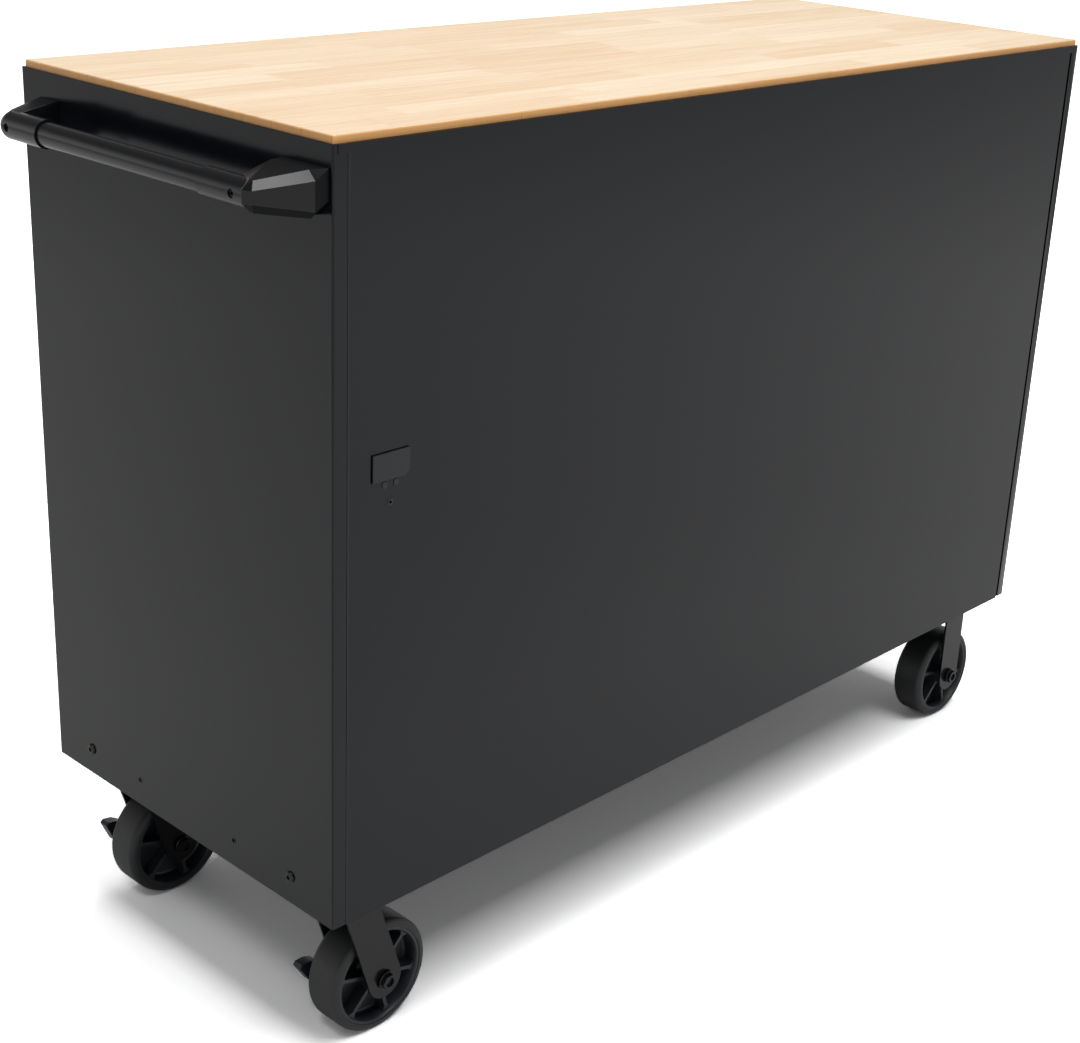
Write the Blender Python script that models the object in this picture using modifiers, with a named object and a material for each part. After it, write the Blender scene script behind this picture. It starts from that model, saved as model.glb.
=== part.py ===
"""A steel tool cart with a wooden worktop, eight drawers, a push bar and four casters.

Metres, +Z up. The drawers face -Y, the push bar is at the +X end, and the plain
rear panel faces +Y. The origin is on the floor under the middle of the whole cart.
"""
import math

import bmesh
import bpy
from mathutils import Matrix, Vector

# Case
case_width = 1.220
case_depth = 0.476
case_height = 0.763
sheet = 0.0010
corner_flange = 0.0164
pan_wall = 0.045
top_recess = 0.018
top_rail_height = 0.030
divider_width = 0.028
divider_rear_space = 0.004

# Rear panel and its small cover plate
ear_height = 0.0084
ear_corner_space = 0.0049
cover_width = 0.0444
cover_height = 0.0269
cover_proud = 0.0018
cover_from_edge = 0.066
cover_above_case_bottom = 0.4665
cover_corner_cut = 0.005

# Worktop
wood_proud = 0.0070
wood_edge_round = 0.0015

# Push bar and its brackets
bar_radius = 0.0120
bar_wall = 0.0015
bar_out = 0.0440
bar_below_top = 0.0450
socket_radius = 0.0136
socket_start = 0.1250
socket_depth = 0.0250
bracket_edge_space = 0.0042
bracket_base_inner = 0.1740
bracket_arm_inner = 0.1680
bracket_wall_top = 0.0200
bracket_wall_bottom = 0.0650
bracket_wall_cut_across = 0.0290
bracket_wall_cut_up = 0.0175
bracket_face_out = 0.0150
bracket_face_top = 0.0210
bracket_face_bottom = 0.0620
bracket_top_chamfer = 0.0085
bracket_rear_low_cut = (0.0065, 0.0065)
bracket_front_low_cut = (0.0330, 0.0120)
elbow_turn = math.radians(42)
elbow_top_flat = 0.0085
rear_elbow_y = 0.1900
rear_elbow_steps = 1
front_elbow_y = 0.1805
front_elbow_steps = 4
socket_screw_y = 0.1745
socket_screw_radius = 0.0040
socket_screw_depth = 0.0050

# Drawers
deep_bank_shares = (1.0, 1.45, 2.0)
shallow_bank_shares = (1.0, 1.3, 1.6, 2.1, 2.7)
zone_space = 0.003
front_space = 0.003
front_depth = 0.016
front_sheet = 0.0012
pull_reach = 0.018
pull_drop = 0.015
pull_sheet = 0.0015
pull_below_top = 0.004
tray_length = 0.420
tray_sheet = 0.0010
tray_above_front_bottom = 0.006
tray_below_front_top = 0.014
stiffener_width = 0.018
stiffener_from_side = 0.050
stiffener_end_space = 0.004

# Drawer slides
slide_height = 0.036
slide_width = 0.0144
slide_above_tray_bottom = 0.006
slide_sheet = 0.0012
post_width = 0.022
inner_post_depth = 0.0060
post_from_end = 0.045
slide_clearance = 0.0005

# Lock in the top rail
lock_radius = 0.0085
lock_face_radius = 0.0110
lock_face_proud = 0.0020
lock_barrel = 0.0200
lock_cam_length = 0.0180
lock_cam_width = 0.0080
lock_key_slot = 0.0020

# Wheels
wheel_radius = 0.0635
tread_width = 0.0440
tread_thickness = 0.0090
tread_edge = 0.0050
rim_width = 0.0400
rim_thickness = 0.0035
web_thickness = 0.0050
hub_radius = 0.0150
hub_length = 0.0520
spoke_count = 6
spoke_start = math.radians(45)
spoke_width = 0.0036
spoke_recess = 0.0040

# Casters
caster_height = 0.1822
caster_from_side = 0.0605
swivel_from_end = 0.0640
swivel_trail = 0.0320
rigid_from_end = 0.0660
plate_length = 0.1050
plate_width = 0.0800
plate_thickness = 0.0045
plate_corner = 0.0080
race_radius = 0.0300
race_height = 0.0105
crown_thickness = 0.0045
leg_thickness = 0.0030
leg_width = 0.0430
axle_radius = 0.0060
axle_head_radius = 0.0100
axle_head_height = 0.0075
axle_flange_radius = 0.0125
axle_flange_height = 0.0015
kingpin_radius = 0.0060
kingpin_head_radius = 0.0100
kingpin_head_height = 0.0070

# Brake pedals, measured from the axle
lever_thickness = 0.0030
lever_ring_radius = 0.0130
pedal_width = 0.0120
pedal_tip_ahead = 0.0645
pedal_tip_up = 0.0124
pedal_top_ahead = 0.0510
pedal_top_up = 0.0160
pedal_toe_ahead = 0.0500
pedal_toe_down = 0.0095
pedal_front_tilt = math.radians(8.5)
pedal_heel_ahead = 0.0420
pedal_edge = 0.0030

# Channels over the casters
channel_width = 0.1120
channel_height = 0.0400
channel_sheet = 0.0020

# Seats, running clearances and cuts
seat = 0.0003
running = 0.0005
cut_overrun = 0.0020

# Facets
round_sides = 32
small_sides = 16
tyre_sides = 40
hex_sides = 6
smooth_below = math.radians(40)
smooth_elbow_below = math.radians(13)

# Heights and half sizes worked out from the above
half_width = case_width / 2
half_depth = case_depth / 2
case_bottom = caster_height + seat
case_top = case_bottom + case_height
pan_floor = case_bottom + sheet
tray_floor_top = case_top - top_recess - seat
zone_bottom = case_bottom + pan_wall + zone_space
zone_top = tray_floor_top - sheet - seat - top_rail_height - zone_space
front_plane = -half_depth
inner_front = front_plane + sheet + seat
bay_inner = divider_width / 2
bay_outer = half_width - sheet
outer_post_depth = corner_flange - sheet
inner_slide_space = inner_post_depth + slide_width
outer_slide_space = outer_post_depth + slide_width
tray_front = front_plane + front_depth + seat
channel_front = tray_front + front_sheet

# The whole cart's box, which sets the origin
reach_bar_end = bar_out + socket_radius + seat
reach_front = pull_reach
reach_rear = seat + sheet + seat + cover_proud
shift = Vector((-reach_bar_end / 2, (reach_front - reach_rear) / 2, 0))


def clear_scene():
    for old in list(bpy.data.objects):
        bpy.data.objects.remove(old, do_unlink=True)


def new_collection(name):
    made = bpy.data.collections.new(name)
    bpy.context.scene.collection.children.link(made)
    return made


clear_scene()
cart = new_collection("tool_cart")
cutters = new_collection("cutters")


def finish(name, colour, roughness, metallic):
    made = bpy.data.materials.new(name)
    made.use_nodes = True
    made.diffuse_color = colour
    shader = made.node_tree.nodes["Principled BSDF"]
    shader.inputs["Base Color"].default_value = colour
    shader.inputs["Roughness"].default_value = roughness
    shader.inputs["Metallic"].default_value = metallic
    return made


case_paint = finish("case_paint", (0.020, 0.021, 0.022, 1), 0.35, 0.0)
fitting_paint = finish("fitting_paint", (0.030, 0.031, 0.032, 1), 0.38, 0.0)
bare_steel = finish("bare_steel", (0.45, 0.45, 0.44, 1), 0.35, 1.0)
wood = finish("wood", (0.72, 0.50, 0.27, 1), 0.45, 0.0)
rubber = finish("rubber", (0.022, 0.023, 0.026, 1), 0.6, 0.0)
hub_plastic = finish("hub_plastic", (0.025, 0.026, 0.029, 1), 0.45, 0.0)
chrome = finish("chrome", (0.75, 0.75, 0.75, 1), 0.15, 1.0)


def pivot(name, parent, location):
    """An empty that carries a moving group on its joint's axis."""
    made = bpy.data.objects.new(name, None)
    cart.objects.link(made)
    made.parent = parent
    made.location = location
    return made


root = pivot("cart_origin", None, shift)


def piece(name, mesh, material, parent=root, location=(0, 0, 0)):
    """A named sub-part in the cart's collection."""
    made = bpy.data.objects.new(name, mesh)
    cart.objects.link(made)
    made.parent = parent
    made.location = location
    mesh.materials.clear()
    mesh.materials.append(material)
    return made


def mesh_from(bm, name):
    bmesh.ops.recalc_face_normals(bm, faces=bm.faces)
    made = bpy.data.meshes.new(name)
    bm.to_mesh(made)
    bm.free()
    return made


def evaluated(mesh, name, add_modifiers):
    """A mesh with modifiers applied, built on a temporary object."""
    work = bpy.data.objects.new(name + "_work", mesh)
    cutters.objects.link(work)
    add_modifiers(work)
    graph = bpy.context.evaluated_depsgraph_get()
    made = bpy.data.meshes.new_from_object(work.evaluated_get(graph))
    made.name = name
    bpy.data.objects.remove(work)
    return made


def box_mesh(name, low, high):
    """A cube between two corners."""
    low = Vector(low)
    high = Vector(high)
    bm = bmesh.new()
    place = Matrix.Translation((low + high) / 2) @ Matrix.Diagonal((high - low).to_4d())
    bmesh.ops.create_cube(bm, size=1, matrix=place)
    return mesh_from(bm, name)


def open_box_mesh(name, low, high, thickness, open_side):
    """A sheet shell whose outside runs between two corners, open on one side."""
    bm = bmesh.new()
    low = Vector(low)
    high = Vector(high)
    place = Matrix.Translation((low + high) / 2) @ Matrix.Diagonal((high - low).to_4d())
    bmesh.ops.create_cube(bm, size=1, matrix=place)
    bm.normal_update()
    way = Vector(open_side)
    lid = max(bm.faces, key=lambda face: face.normal.dot(way))
    bmesh.ops.delete(bm, geom=[lid], context="FACES_ONLY")
    shell = mesh_from_open(bm, name)

    def thicken(work):
        wall = work.modifiers.new("wall", "SOLIDIFY")
        wall.thickness = thickness
        wall.offset = -1
        wall.use_even_offset = True

    return evaluated(shell, name, thicken)


def mesh_from_open(bm, name):
    """An open surface keeps the side that its faces look to."""
    made = bpy.data.meshes.new(name)
    bm.to_mesh(made)
    bm.free()
    return made


def folded_mesh(name, path, along, length, thickness, offset):
    """A folded strip of sheet: a path of corners, pushed along a direction and thickened."""
    bm = bmesh.new()
    corners = [bm.verts.new(corner) for corner in path]
    edges = [bm.edges.new(pair) for pair in zip(corners, corners[1:])]
    pushed = bmesh.ops.extrude_edge_only(bm, edges=edges)
    moved = [item for item in pushed["geom"] if isinstance(item, bmesh.types.BMVert)]
    bmesh.ops.translate(bm, verts=moved, vec=Vector(along) * length)
    strip = mesh_from_open(bm, name)

    def thicken(work):
        wall = work.modifiers.new("wall", "SOLIDIFY")
        wall.thickness = thickness
        wall.offset = offset
        wall.use_even_offset = True

    return evaluated(strip, name, thicken)


def outline_mesh(name, outline, thickness, turn):
    """A flat outline, extruded to both sides of its plane and turned into place."""
    curve = bpy.data.curves.new(name, "CURVE")
    curve.dimensions = "2D"
    curve.fill_mode = "BOTH"
    curve.extrude = thickness / 2
    spline = curve.splines.new("POLY")
    spline.points.add(len(outline) - 1)
    for point, (across, up) in zip(spline.points, outline):
        point.co = (across, up, 0, 1)
    spline.use_cyclic_u = True
    flat = bpy.data.objects.new(name + "_flat", curve)
    cutters.objects.link(flat)
    graph = bpy.context.evaluated_depsgraph_get()
    made = bpy.data.meshes.new_from_object(flat.evaluated_get(graph))
    bpy.data.objects.remove(flat)
    bm = bmesh.new()
    bm.from_mesh(made)
    bmesh.ops.remove_doubles(bm, verts=bm.verts, dist=seat / 10)
    bmesh.ops.transform(bm, matrix=turn, verts=bm.verts)
    return mesh_from(bm, name)


def cylinder_mesh(name, radius, start, end, sides):
    """A cylinder between two points."""
    start = Vector(start)
    end = Vector(end)
    axis = end - start
    bm = bmesh.new()
    place = Matrix.Translation((start + end) / 2) @ axis.to_track_quat("Z", "Y").to_matrix().to_4x4()
    bmesh.ops.create_cone(
        bm, cap_ends=True, segments=sides, radius1=radius, radius2=radius, depth=axis.length, matrix=place
    )
    return mesh_from(bm, name)


def turned_mesh(name, profile, sides):
    """A closed profile of (radius, across) points turned about Y."""
    bm = bmesh.new()
    corners = [bm.verts.new((radius, across, 0)) for radius, across in profile]
    for first, second in zip(corners, corners[1:] + corners[:1]):
        bm.edges.new((first, second))
    half = mesh_from_open(bm, name)

    def turn(work):
        screw = work.modifiers.new("turn", "SCREW")
        screw.axis = "Y"
        screw.steps = sides
        screw.render_steps = sides
        screw.use_merge_vertices = True
        screw.merge_threshold = seat / 10

    made = evaluated(half, name, turn)
    bm = bmesh.new()
    bm.from_mesh(made)
    return mesh_from(bm, name)


def arc(centre, radius, first, last, steps):
    """Points on an arc, the angles in degrees."""
    points = []
    for step in range(steps + 1):
        angle = math.radians(first + (last - first) * step / steps)
        points.append((centre[0] + radius * math.cos(angle), centre[1] + radius * math.sin(angle)))
    return points


def joined(name, base, others, operation="UNION"):
    """One mesh from a base and others, added to it or cut from it."""
    tools = []
    for index, other in enumerate(others):
        tool = bpy.data.objects.new(f"{name}_tool_{index}", other)
        cutters.objects.link(tool)
        tool.hide_render = True
        tool.display_type = "WIRE"
        tools.append(tool)

    def combine(work):
        for tool in tools:
            step = work.modifiers.new(tool.name, "BOOLEAN")
            step.operation = operation
            step.solver = "EXACT"
            step.object = tool

    made = evaluated(base, name, combine)
    for tool in tools:
        bpy.data.objects.remove(tool)
    return made


def cut(name, base, others):
    return joined(name, base, others, "DIFFERENCE")


def smooth(mesh, angle=smooth_below):
    mesh.shade_smooth()
    mesh.set_sharp_from_angle(angle=angle)


XZ_PLANE = Matrix.Rotation(math.radians(90), 4, "X")


# Side panels: one sheet each, folded in at the front and rear corners
def side_panel(name, end):
    inner = end * (half_width - corner_flange)
    outer = end * half_width
    path = [
        (inner, -half_depth, case_bottom),
        (outer, -half_depth, case_bottom),
        (outer, half_depth, case_bottom),
        (inner, half_depth, case_bottom),
    ]
    mesh = folded_mesh(name, path, (0, 0, 1), case_height, sheet, end)
    piece(name, mesh, case_paint)


side_panel("side_panel_bar_end", 1)
side_panel("side_panel_far_end", -1)


# Rear panel: lies on the rear flanges, with two ears that close the top corners
def rear_panel():
    main = half_width - corner_flange
    ear = half_width - ear_corner_space
    step = case_top - ear_height
    half = [(main, case_bottom), (main, step), (ear, step), (ear, case_top)]
    outline = half + [(-across, up) for across, up in reversed(half)]
    plane = half_depth + seat + sheet / 2
    mesh = outline_mesh("rear_panel", outline, sheet, Matrix.Translation((0, plane, 0)) @ XZ_PLANE)
    piece("rear_panel", mesh, case_paint)


rear_panel()


def rear_cover_plate():
    wide = cover_width / 2
    high = cover_height / 2
    notch = cover_corner_cut
    outline = [(-wide + notch, -high), (wide, -high), (wide, high), (-wide, high), (-wide, -high + notch)]
    rear_face = half_depth + seat + sheet
    height = case_bottom + cover_above_case_bottom
    place = Matrix.Translation((half_width - cover_from_edge, rear_face + seat + cover_proud / 2, height))
    mesh = outline_mesh("rear_cover_plate", outline, cover_proud, place @ XZ_PLANE)
    piece("rear_cover_plate", mesh, case_paint)


rear_cover_plate()


# Bottom pan, top tray and worktop, between the side panels
def pan_corners(bottom, top):
    reach_x = half_width - sheet - seat
    reach_y = half_depth - sheet - seat
    return (-reach_x, -reach_y, bottom), (reach_x, reach_y, top)


def bottom_pan():
    low, high = pan_corners(case_bottom, case_bottom + pan_wall)
    piece("bottom_pan", open_box_mesh("bottom_pan", low, high, sheet, (0, 0, 1)), case_paint)


def top_tray():
    low, high = pan_corners(tray_floor_top - sheet, case_top)
    piece("top_tray", open_box_mesh("top_tray", low, high, sheet, (0, 0, 1)), case_paint)


def worktop():
    inset = sheet + seat + sheet + seat
    reach_x = half_width - inset
    reach_y = half_depth - inset
    low = (-reach_x, -reach_y, tray_floor_top + seat)
    high = (reach_x, reach_y, case_top + wood_proud)
    made = piece("worktop", box_mesh("worktop", low, high), wood)
    edge = made.modifiers.new("rounded edges", "BEVEL")
    edge.width = wood_edge_round
    edge.segments = 2


bottom_pan()
top_tray()
worktop()


# Top rail across the front, with the hole for the lock
lock_height = tray_floor_top - sheet - seat - top_rail_height / 2


def top_front_rail():
    reach = half_width - sheet - seat
    top = tray_floor_top - sheet - seat
    low = top - top_rail_height
    fold = top_rail_height
    path = [
        (-reach, inner_front + fold, top),
        (-reach, inner_front, top),
        (-reach, inner_front, low),
    ]
    rail = folded_mesh("top_front_rail", path, (1, 0, 0), 2 * reach, sheet, 1)
    hole = cylinder_mesh(
        "lock_hole",
        lock_radius + running,
        (0, inner_front - cut_overrun, lock_height),
        (0, inner_front + sheet + cut_overrun, lock_height),
        small_sides,
    )
    piece("top_front_rail", cut("top_front_rail", rail, [hole]), case_paint)


top_front_rail()


# Lock: a plug that turns in the rail, with a face, a key slot and a cam behind
def lock_plug():
    face_back = -seat
    face = cylinder_mesh(
        "lock_face", lock_face_radius, (0, face_back - lock_face_proud, 0), (0, face_back, 0), small_sides
    )
    barrel = cylinder_mesh(
        "lock_barrel", lock_radius, (0, face_back - lock_face_proud / 2, 0), (0, lock_barrel, 0), small_sides
    )
    cam = box_mesh(
        "lock_cam",
        (-lock_cam_width / 2, lock_barrel - lock_key_slot, -lock_radius / 2),
        (lock_cam_width / 2, lock_barrel + lock_key_slot, lock_cam_length - lock_radius),
    )
    slot = box_mesh(
        "key_slot",
        (-lock_key_slot / 2, face_back - lock_face_proud - cut_overrun, -lock_radius / 2),
        (lock_key_slot / 2, face_back - lock_face_proud + lock_barrel / 3, lock_radius / 2),
    )
    body = joined("lock_body", face, [barrel, cam])
    made = cut("lock_plug", body, [slot])
    piece("lock_plug", made, chrome, root, (0, inner_front, lock_height))


lock_plug()


# Centre divider: a sheet folded to a U, open to the rear
def centre_divider():
    front = inner_front + sheet + seat
    rear = half_depth - sheet - seat - sheet - divider_rear_space
    bottom = pan_floor + seat
    top = tray_floor_top - sheet - seat
    notch_top = top - top_rail_height - seat
    path = [
        (-bay_inner, rear, bottom),
        (-bay_inner, front, bottom),
        (bay_inner, front, bottom),
        (bay_inner, rear, bottom),
    ]
    post = folded_mesh("centre_divider", path, (0, 0, 1), top - bottom, sheet, 1)
    rail_fold = box_mesh(
        "rail_notch",
        (-divider_width, front - cut_overrun, notch_top),
        (divider_width, inner_front + top_rail_height + seat, top + cut_overrun),
    )
    piece("centre_divider", cut("centre_divider", post, [rail_fold]), case_paint)


centre_divider()


# Channels that stiffen the pan over each pair of casters
def caster_channel(name, centre_x):
    rear = half_depth - sheet - seat - sheet - seat
    front = -rear
    floor = pan_floor + seat
    path = [
        (centre_x - channel_width / 2, front, floor),
        (centre_x - channel_width / 2, front, floor + channel_height),
        (centre_x + channel_width / 2, front, floor + channel_height),
        (centre_x + channel_width / 2, front, floor),
    ]
    mesh = folded_mesh(name, path, (0, 1, 0), rear - front, channel_sheet, 1)
    piece(name, mesh, case_paint)


channel_from_end = sheet + seat + sheet + seat + channel_width / 2
caster_channel("caster_channel_bar_end", half_width - channel_from_end)
caster_channel("caster_channel_far_end", -half_width + channel_from_end)

# Banks: heights of the fronts from the top down, as shares of the opening
zone_height = zone_top - zone_bottom


def bank_heights(shares):
    """Bottom and top of each front's place in a bank, from the top down."""
    places = []
    top = zone_top
    for share in shares:
        bottom = top - zone_height * share / sum(shares)
        places.append((bottom, top))
        top = bottom
    return places


def tray_places(shares):
    """Bottom and top of each tray."""
    lift = front_space / 2
    return [
        (bottom + lift + tray_above_front_bottom, top - lift - tray_below_front_top)
        for bottom, top in bank_heights(shares)
    ]


# Slide carriers: two folded posts and a C channel for each drawer, on each wall of a bay
def slide_carrier(name, wall_x, way, post_depth, shares):
    """Way is +1 where the bay lies on the +X side of the wall."""
    bottom = case_bottom + pan_wall + seat
    top = tray_floor_top - sheet - seat
    near = wall_x + way * seat
    far = wall_x + way * post_depth
    web_x = far - way * slide_sheet / 2
    open_x = far + way * (slide_width - running)
    rear = channel_front + tray_length
    solids = []
    for centre in (channel_front + post_from_end, rear - post_from_end):
        path = [
            (near, centre - post_width / 2, bottom),
            (far, centre - post_width / 2, bottom),
            (far, centre + post_width / 2, bottom),
            (near, centre + post_width / 2, bottom),
        ]
        solids.append(folded_mesh(name + "_post", path, (0, 0, 1), top - bottom, slide_sheet, way))
    for tray_bottom, _ in tray_places(shares):
        low = tray_bottom + slide_above_tray_bottom
        path = [
            (open_x, channel_front, low),
            (web_x, channel_front, low),
            (web_x, channel_front, low + slide_height),
            (open_x, channel_front, low + slide_height),
        ]
        length = rear - channel_front
        solids.append(folded_mesh(name + "_channel", path, (0, 1, 0), length, slide_sheet, way))
    mesh = joined(name, solids[0], solids[1:])
    piece(name, mesh, bare_steel)


slide_carrier("slides_bar_end_outer", bay_outer, -1, outer_post_depth, deep_bank_shares)
slide_carrier("slides_bar_end_inner", bay_inner, 1, inner_post_depth, deep_bank_shares)
slide_carrier("slides_far_end_inner", -bay_inner, -1, inner_post_depth, shallow_bank_shares)
slide_carrier("slides_far_end_outer", -bay_outer, 1, outer_post_depth, shallow_bank_shares)


# Drawers: a tray with its slide members, and a hollow front with a full-width pull
def drawer(name, bank, place, tray_place):
    """Bank is +1 for the bay at the bar end."""
    inner_wall = bank * (bay_inner + inner_slide_space)
    outer_wall = bank * (bay_outer - outer_slide_space)
    left = min(inner_wall, outer_wall)
    right = max(inner_wall, outer_wall)
    middle = (left + right) / 2
    bottom, top = tray_place
    centre = pivot(name, root, (middle, tray_front, bottom))
    half = (right - left) / 2
    shell = open_box_mesh(
        name + "_shell", (-half, 0, 0), (half, tray_length, top - bottom), tray_sheet, (0, 0, 1)
    )
    members = []
    for way in (-1, 1):
        root_x = way * (half - tray_sheet / 2)
        tip_x = way * (half + slide_width - slide_sheet / 2 - 2 * running)
        low = slide_above_tray_bottom + slide_sheet + slide_clearance
        high = slide_above_tray_bottom + slide_height - slide_sheet - slide_clearance
        path = [
            (tip_x, front_sheet, low),
            (root_x, front_sheet, low),
            (root_x, front_sheet, high),
            (tip_x, front_sheet, high),
        ]
        members.append(
            folded_mesh(name + "_member", path, (0, 1, 0), tray_length - front_sheet, slide_sheet, way)
        )
    piece(name + "_tray", joined(name + "_tray", shell, members), case_paint, centre)
    drawer_front(name, bank, place, centre, middle, tray_place)


def stiffeners(name, half_tray, face, height):
    """Two folded channels in the hollow front, which meet the tray's front wall."""
    made = []
    for way in (-1, 1):
        near = way * (half_tray - stiffener_from_side) - stiffener_width / 2
        far = near + stiffener_width
        path = [
            (near, face + front_sheet / 2, stiffener_end_space),
            (near, -seat, stiffener_end_space),
            (far, -seat, stiffener_end_space),
            (far, face + front_sheet / 2, stiffener_end_space),
        ]
        length = height - 2 * stiffener_end_space
        made.append(folded_mesh(name + "_stiffener", path, (0, 0, 1), length, front_sheet, -1))
    return made


def drawer_front(name, bank, place, centre, middle, tray_place):
    tray_bottom, tray_top = tray_place
    edge_inner = bank * (bay_inner + front_space)
    edge_outer = bank * (half_width - corner_flange - front_space)
    left = min(edge_inner, edge_outer) - middle
    right = max(edge_inner, edge_outer) - middle
    bottom = place[0] + front_space / 2 - tray_bottom
    top = place[1] - front_space / 2 - tray_bottom
    face = -front_depth - seat
    shell = open_box_mesh(
        name + "_face", (left, face, bottom), (right, -seat, top), front_sheet, (0, 1, 0)
    )
    ledge = top - pull_below_top
    path = [
        (left, face + front_sheet / 2, ledge),
        (left, face - pull_reach, ledge),
        (left, face - pull_reach, ledge - pull_drop),
    ]
    pull = folded_mesh(name + "_pull", path, (1, 0, 0), right - left, pull_sheet, 1)
    half_tray = (bay_outer - outer_slide_space - bay_inner - inner_slide_space) / 2
    ribs = stiffeners(name, half_tray, face, tray_top - tray_bottom)
    piece(name + "_front", joined(name + "_front", shell, [pull] + ribs), fitting_paint, centre)


def bank_of_drawers(prefix, bank, shares):
    rows = zip(bank_heights(shares), tray_places(shares))
    for number, (place, tray_place) in enumerate(rows, start=1):
        drawer(f"{prefix}_{number}", bank, place, tray_place)


bank_of_drawers("deep_drawer", 1, deep_bank_shares)
bank_of_drawers("shallow_drawer", -1, shallow_bank_shares)


# Push bar: a tube between two cast brackets
bar_x = half_width + bar_out
bar_z = case_top - bar_below_top


def half_octagon(radius, top_flat):
    """Corners of the outer half of a section round the bar, as (outwards, up)."""
    side_flat = radius * math.tan(math.pi / 8)
    return [(top_flat, radius), (radius, side_flat), (radius, -side_flat), (top_flat, -radius)]


def bracket_arm(name, low_cut, elbow_y, elbow_steps):
    """The hull of the section on the panel, the face section, the elbow and the socket."""
    wall = half_width + seat
    face = half_width + bracket_face_out
    rear = half_depth - bracket_edge_space
    inner = bracket_base_inner
    wall_top = case_top - bracket_wall_top
    wall_low = case_top - bracket_wall_bottom
    face_top = case_top - bracket_face_top
    face_low = case_top - bracket_face_bottom
    wall_section = [
        (inner, wall_top),
        (rear, wall_top),
        (rear, wall_low + bracket_wall_cut_up),
        (rear - bracket_wall_cut_across, wall_low),
        (inner, wall_low),
    ]
    face_section = [
        (inner, face_top),
        (rear - bracket_top_chamfer, face_top),
        (rear, face_top - bracket_top_chamfer),
        (rear, face_low + low_cut[1]),
        (rear - low_cut[0], face_low),
        (inner, face_low),
    ]
    corners = [(wall, across, up) for across, up in wall_section]
    corners += [(face, across, up) for across, up in face_section]
    radius = socket_radius + seat
    even_flat = radius * math.tan(math.pi / 8)
    for reach, up in half_octagon(radius, even_flat):
        corners.append((bar_x - reach, bracket_arm_inner, bar_z + up))
    for step in range(elbow_steps + 1):
        top_flat = elbow_top_flat if step == elbow_steps else even_flat
        angle = elbow_turn * step / elbow_steps
        for reach, up in half_octagon(radius, top_flat):
            corners.append((bar_x + reach * math.cos(angle), elbow_y + reach * math.sin(angle), bar_z + up))
    bm = bmesh.new()
    verts = [bm.verts.new(corner) for corner in corners]
    bmesh.ops.convex_hull(bm, input=verts)
    loose = [vert for vert in bm.verts if not vert.link_faces]
    bmesh.ops.delete(bm, geom=loose, context="VERTS")
    bmesh.ops.dissolve_limit(bm, angle_limit=math.radians(1), verts=bm.verts, edges=bm.edges)
    return mesh_from(bm, name)


def bracket(name, turn, low_cut, elbow_y, elbow_steps):
    """An angular cast arm with a round socket for the bar, made at the rear and turned into place."""
    arm = bracket_arm(name + "_arm", low_cut, elbow_y, elbow_steps)
    socket = cylinder_mesh(
        name + "_socket", socket_radius, (bar_x, socket_start, bar_z), (bar_x, elbow_y, bar_z), round_sides
    )
    bore = cylinder_mesh(
        name + "_bore",
        bar_radius + seat,
        (bar_x, socket_start - cut_overrun, bar_z),
        (bar_x, socket_start + socket_depth + seat, bar_z),
        round_sides,
    )
    screw_hole = cylinder_mesh(
        name + "_screw_hole",
        socket_screw_radius,
        (bar_x + socket_radius - socket_screw_depth, socket_screw_y, bar_z),
        (bar_x + socket_radius + cut_overrun, socket_screw_y, bar_z),
        small_sides,
    )
    made = cut(name, joined(name + "_body", arm, [socket]), [bore, screw_hole])
    made.transform(turn)
    smooth(made, smooth_elbow_below)
    piece(name, made, fitting_paint)


unturned = Matrix.Identity(4)
half_turned = (
    Matrix.Translation((0, 0, bar_z)) @ Matrix.Rotation(math.pi, 4, "X") @ Matrix.Translation((0, 0, -bar_z))
)
bracket("bar_bracket_rear", unturned, bracket_rear_low_cut, rear_elbow_y, rear_elbow_steps)
bracket("bar_bracket_front", half_turned, bracket_front_low_cut, front_elbow_y, front_elbow_steps)


def push_bar():
    reach = socket_start + socket_depth
    profile = [
        (bar_radius, -reach),
        (bar_radius, reach),
        (bar_radius - bar_wall, reach),
        (bar_radius - bar_wall, -reach),
    ]
    mesh = turned_mesh("push_bar", profile, round_sides)
    smooth(mesh)
    piece("push_bar", mesh, fitting_paint, root, (bar_x, 0, bar_z))


push_bar()


# Wheel parts, made once and shared by the four wheels
def tyre_mesh():
    outer = wheel_radius
    inner = wheel_radius - tread_thickness
    half = tread_width / 2
    slope = tread_edge / 2
    profile = [
        (inner, -half + slope),
        (outer - tread_edge, -half),
        (outer - slope / 2, -half + slope),
        (outer, -half + tread_edge),
        (outer, half - tread_edge),
        (outer - slope / 2, half - slope),
        (outer - tread_edge, half),
        (inner, half - slope),
    ]
    mesh = turned_mesh("tyre", profile, tyre_sides)
    smooth(mesh)
    return mesh


def hub_mesh():
    rim_outer = wheel_radius - tread_thickness - seat
    rim_inner = rim_outer - rim_thickness
    bore = axle_radius + running
    rim = rim_width / 2
    web = web_thickness / 2
    boss = hub_length / 2
    half = [
        (bore, boss),
        (hub_radius, boss),
        (hub_radius, web),
        (rim_inner, web),
        (rim_inner, rim),
        (rim_outer, rim),
    ]
    profile = half + [(radius, -across) for radius, across in reversed(half)]
    body = turned_mesh("hub_body", profile, round_sides)
    spokes = []
    for number in range(spoke_count):
        spoke = box_mesh(
            "spoke",
            (hub_radius - spoke_width / 2, -rim + spoke_recess, -spoke_width / 2),
            (rim_inner + rim_thickness / 2, rim - spoke_recess, spoke_width / 2),
        )
        spoke.transform(Matrix.Rotation(spoke_start + math.tau * number / spoke_count, 4, "Y"))
        spokes.append(spoke)
    mesh = joined("hub", body, spokes)
    smooth(mesh)
    return mesh


leg_inner = hub_length / 2 + running
leg_outer = leg_inner + leg_thickness


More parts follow.
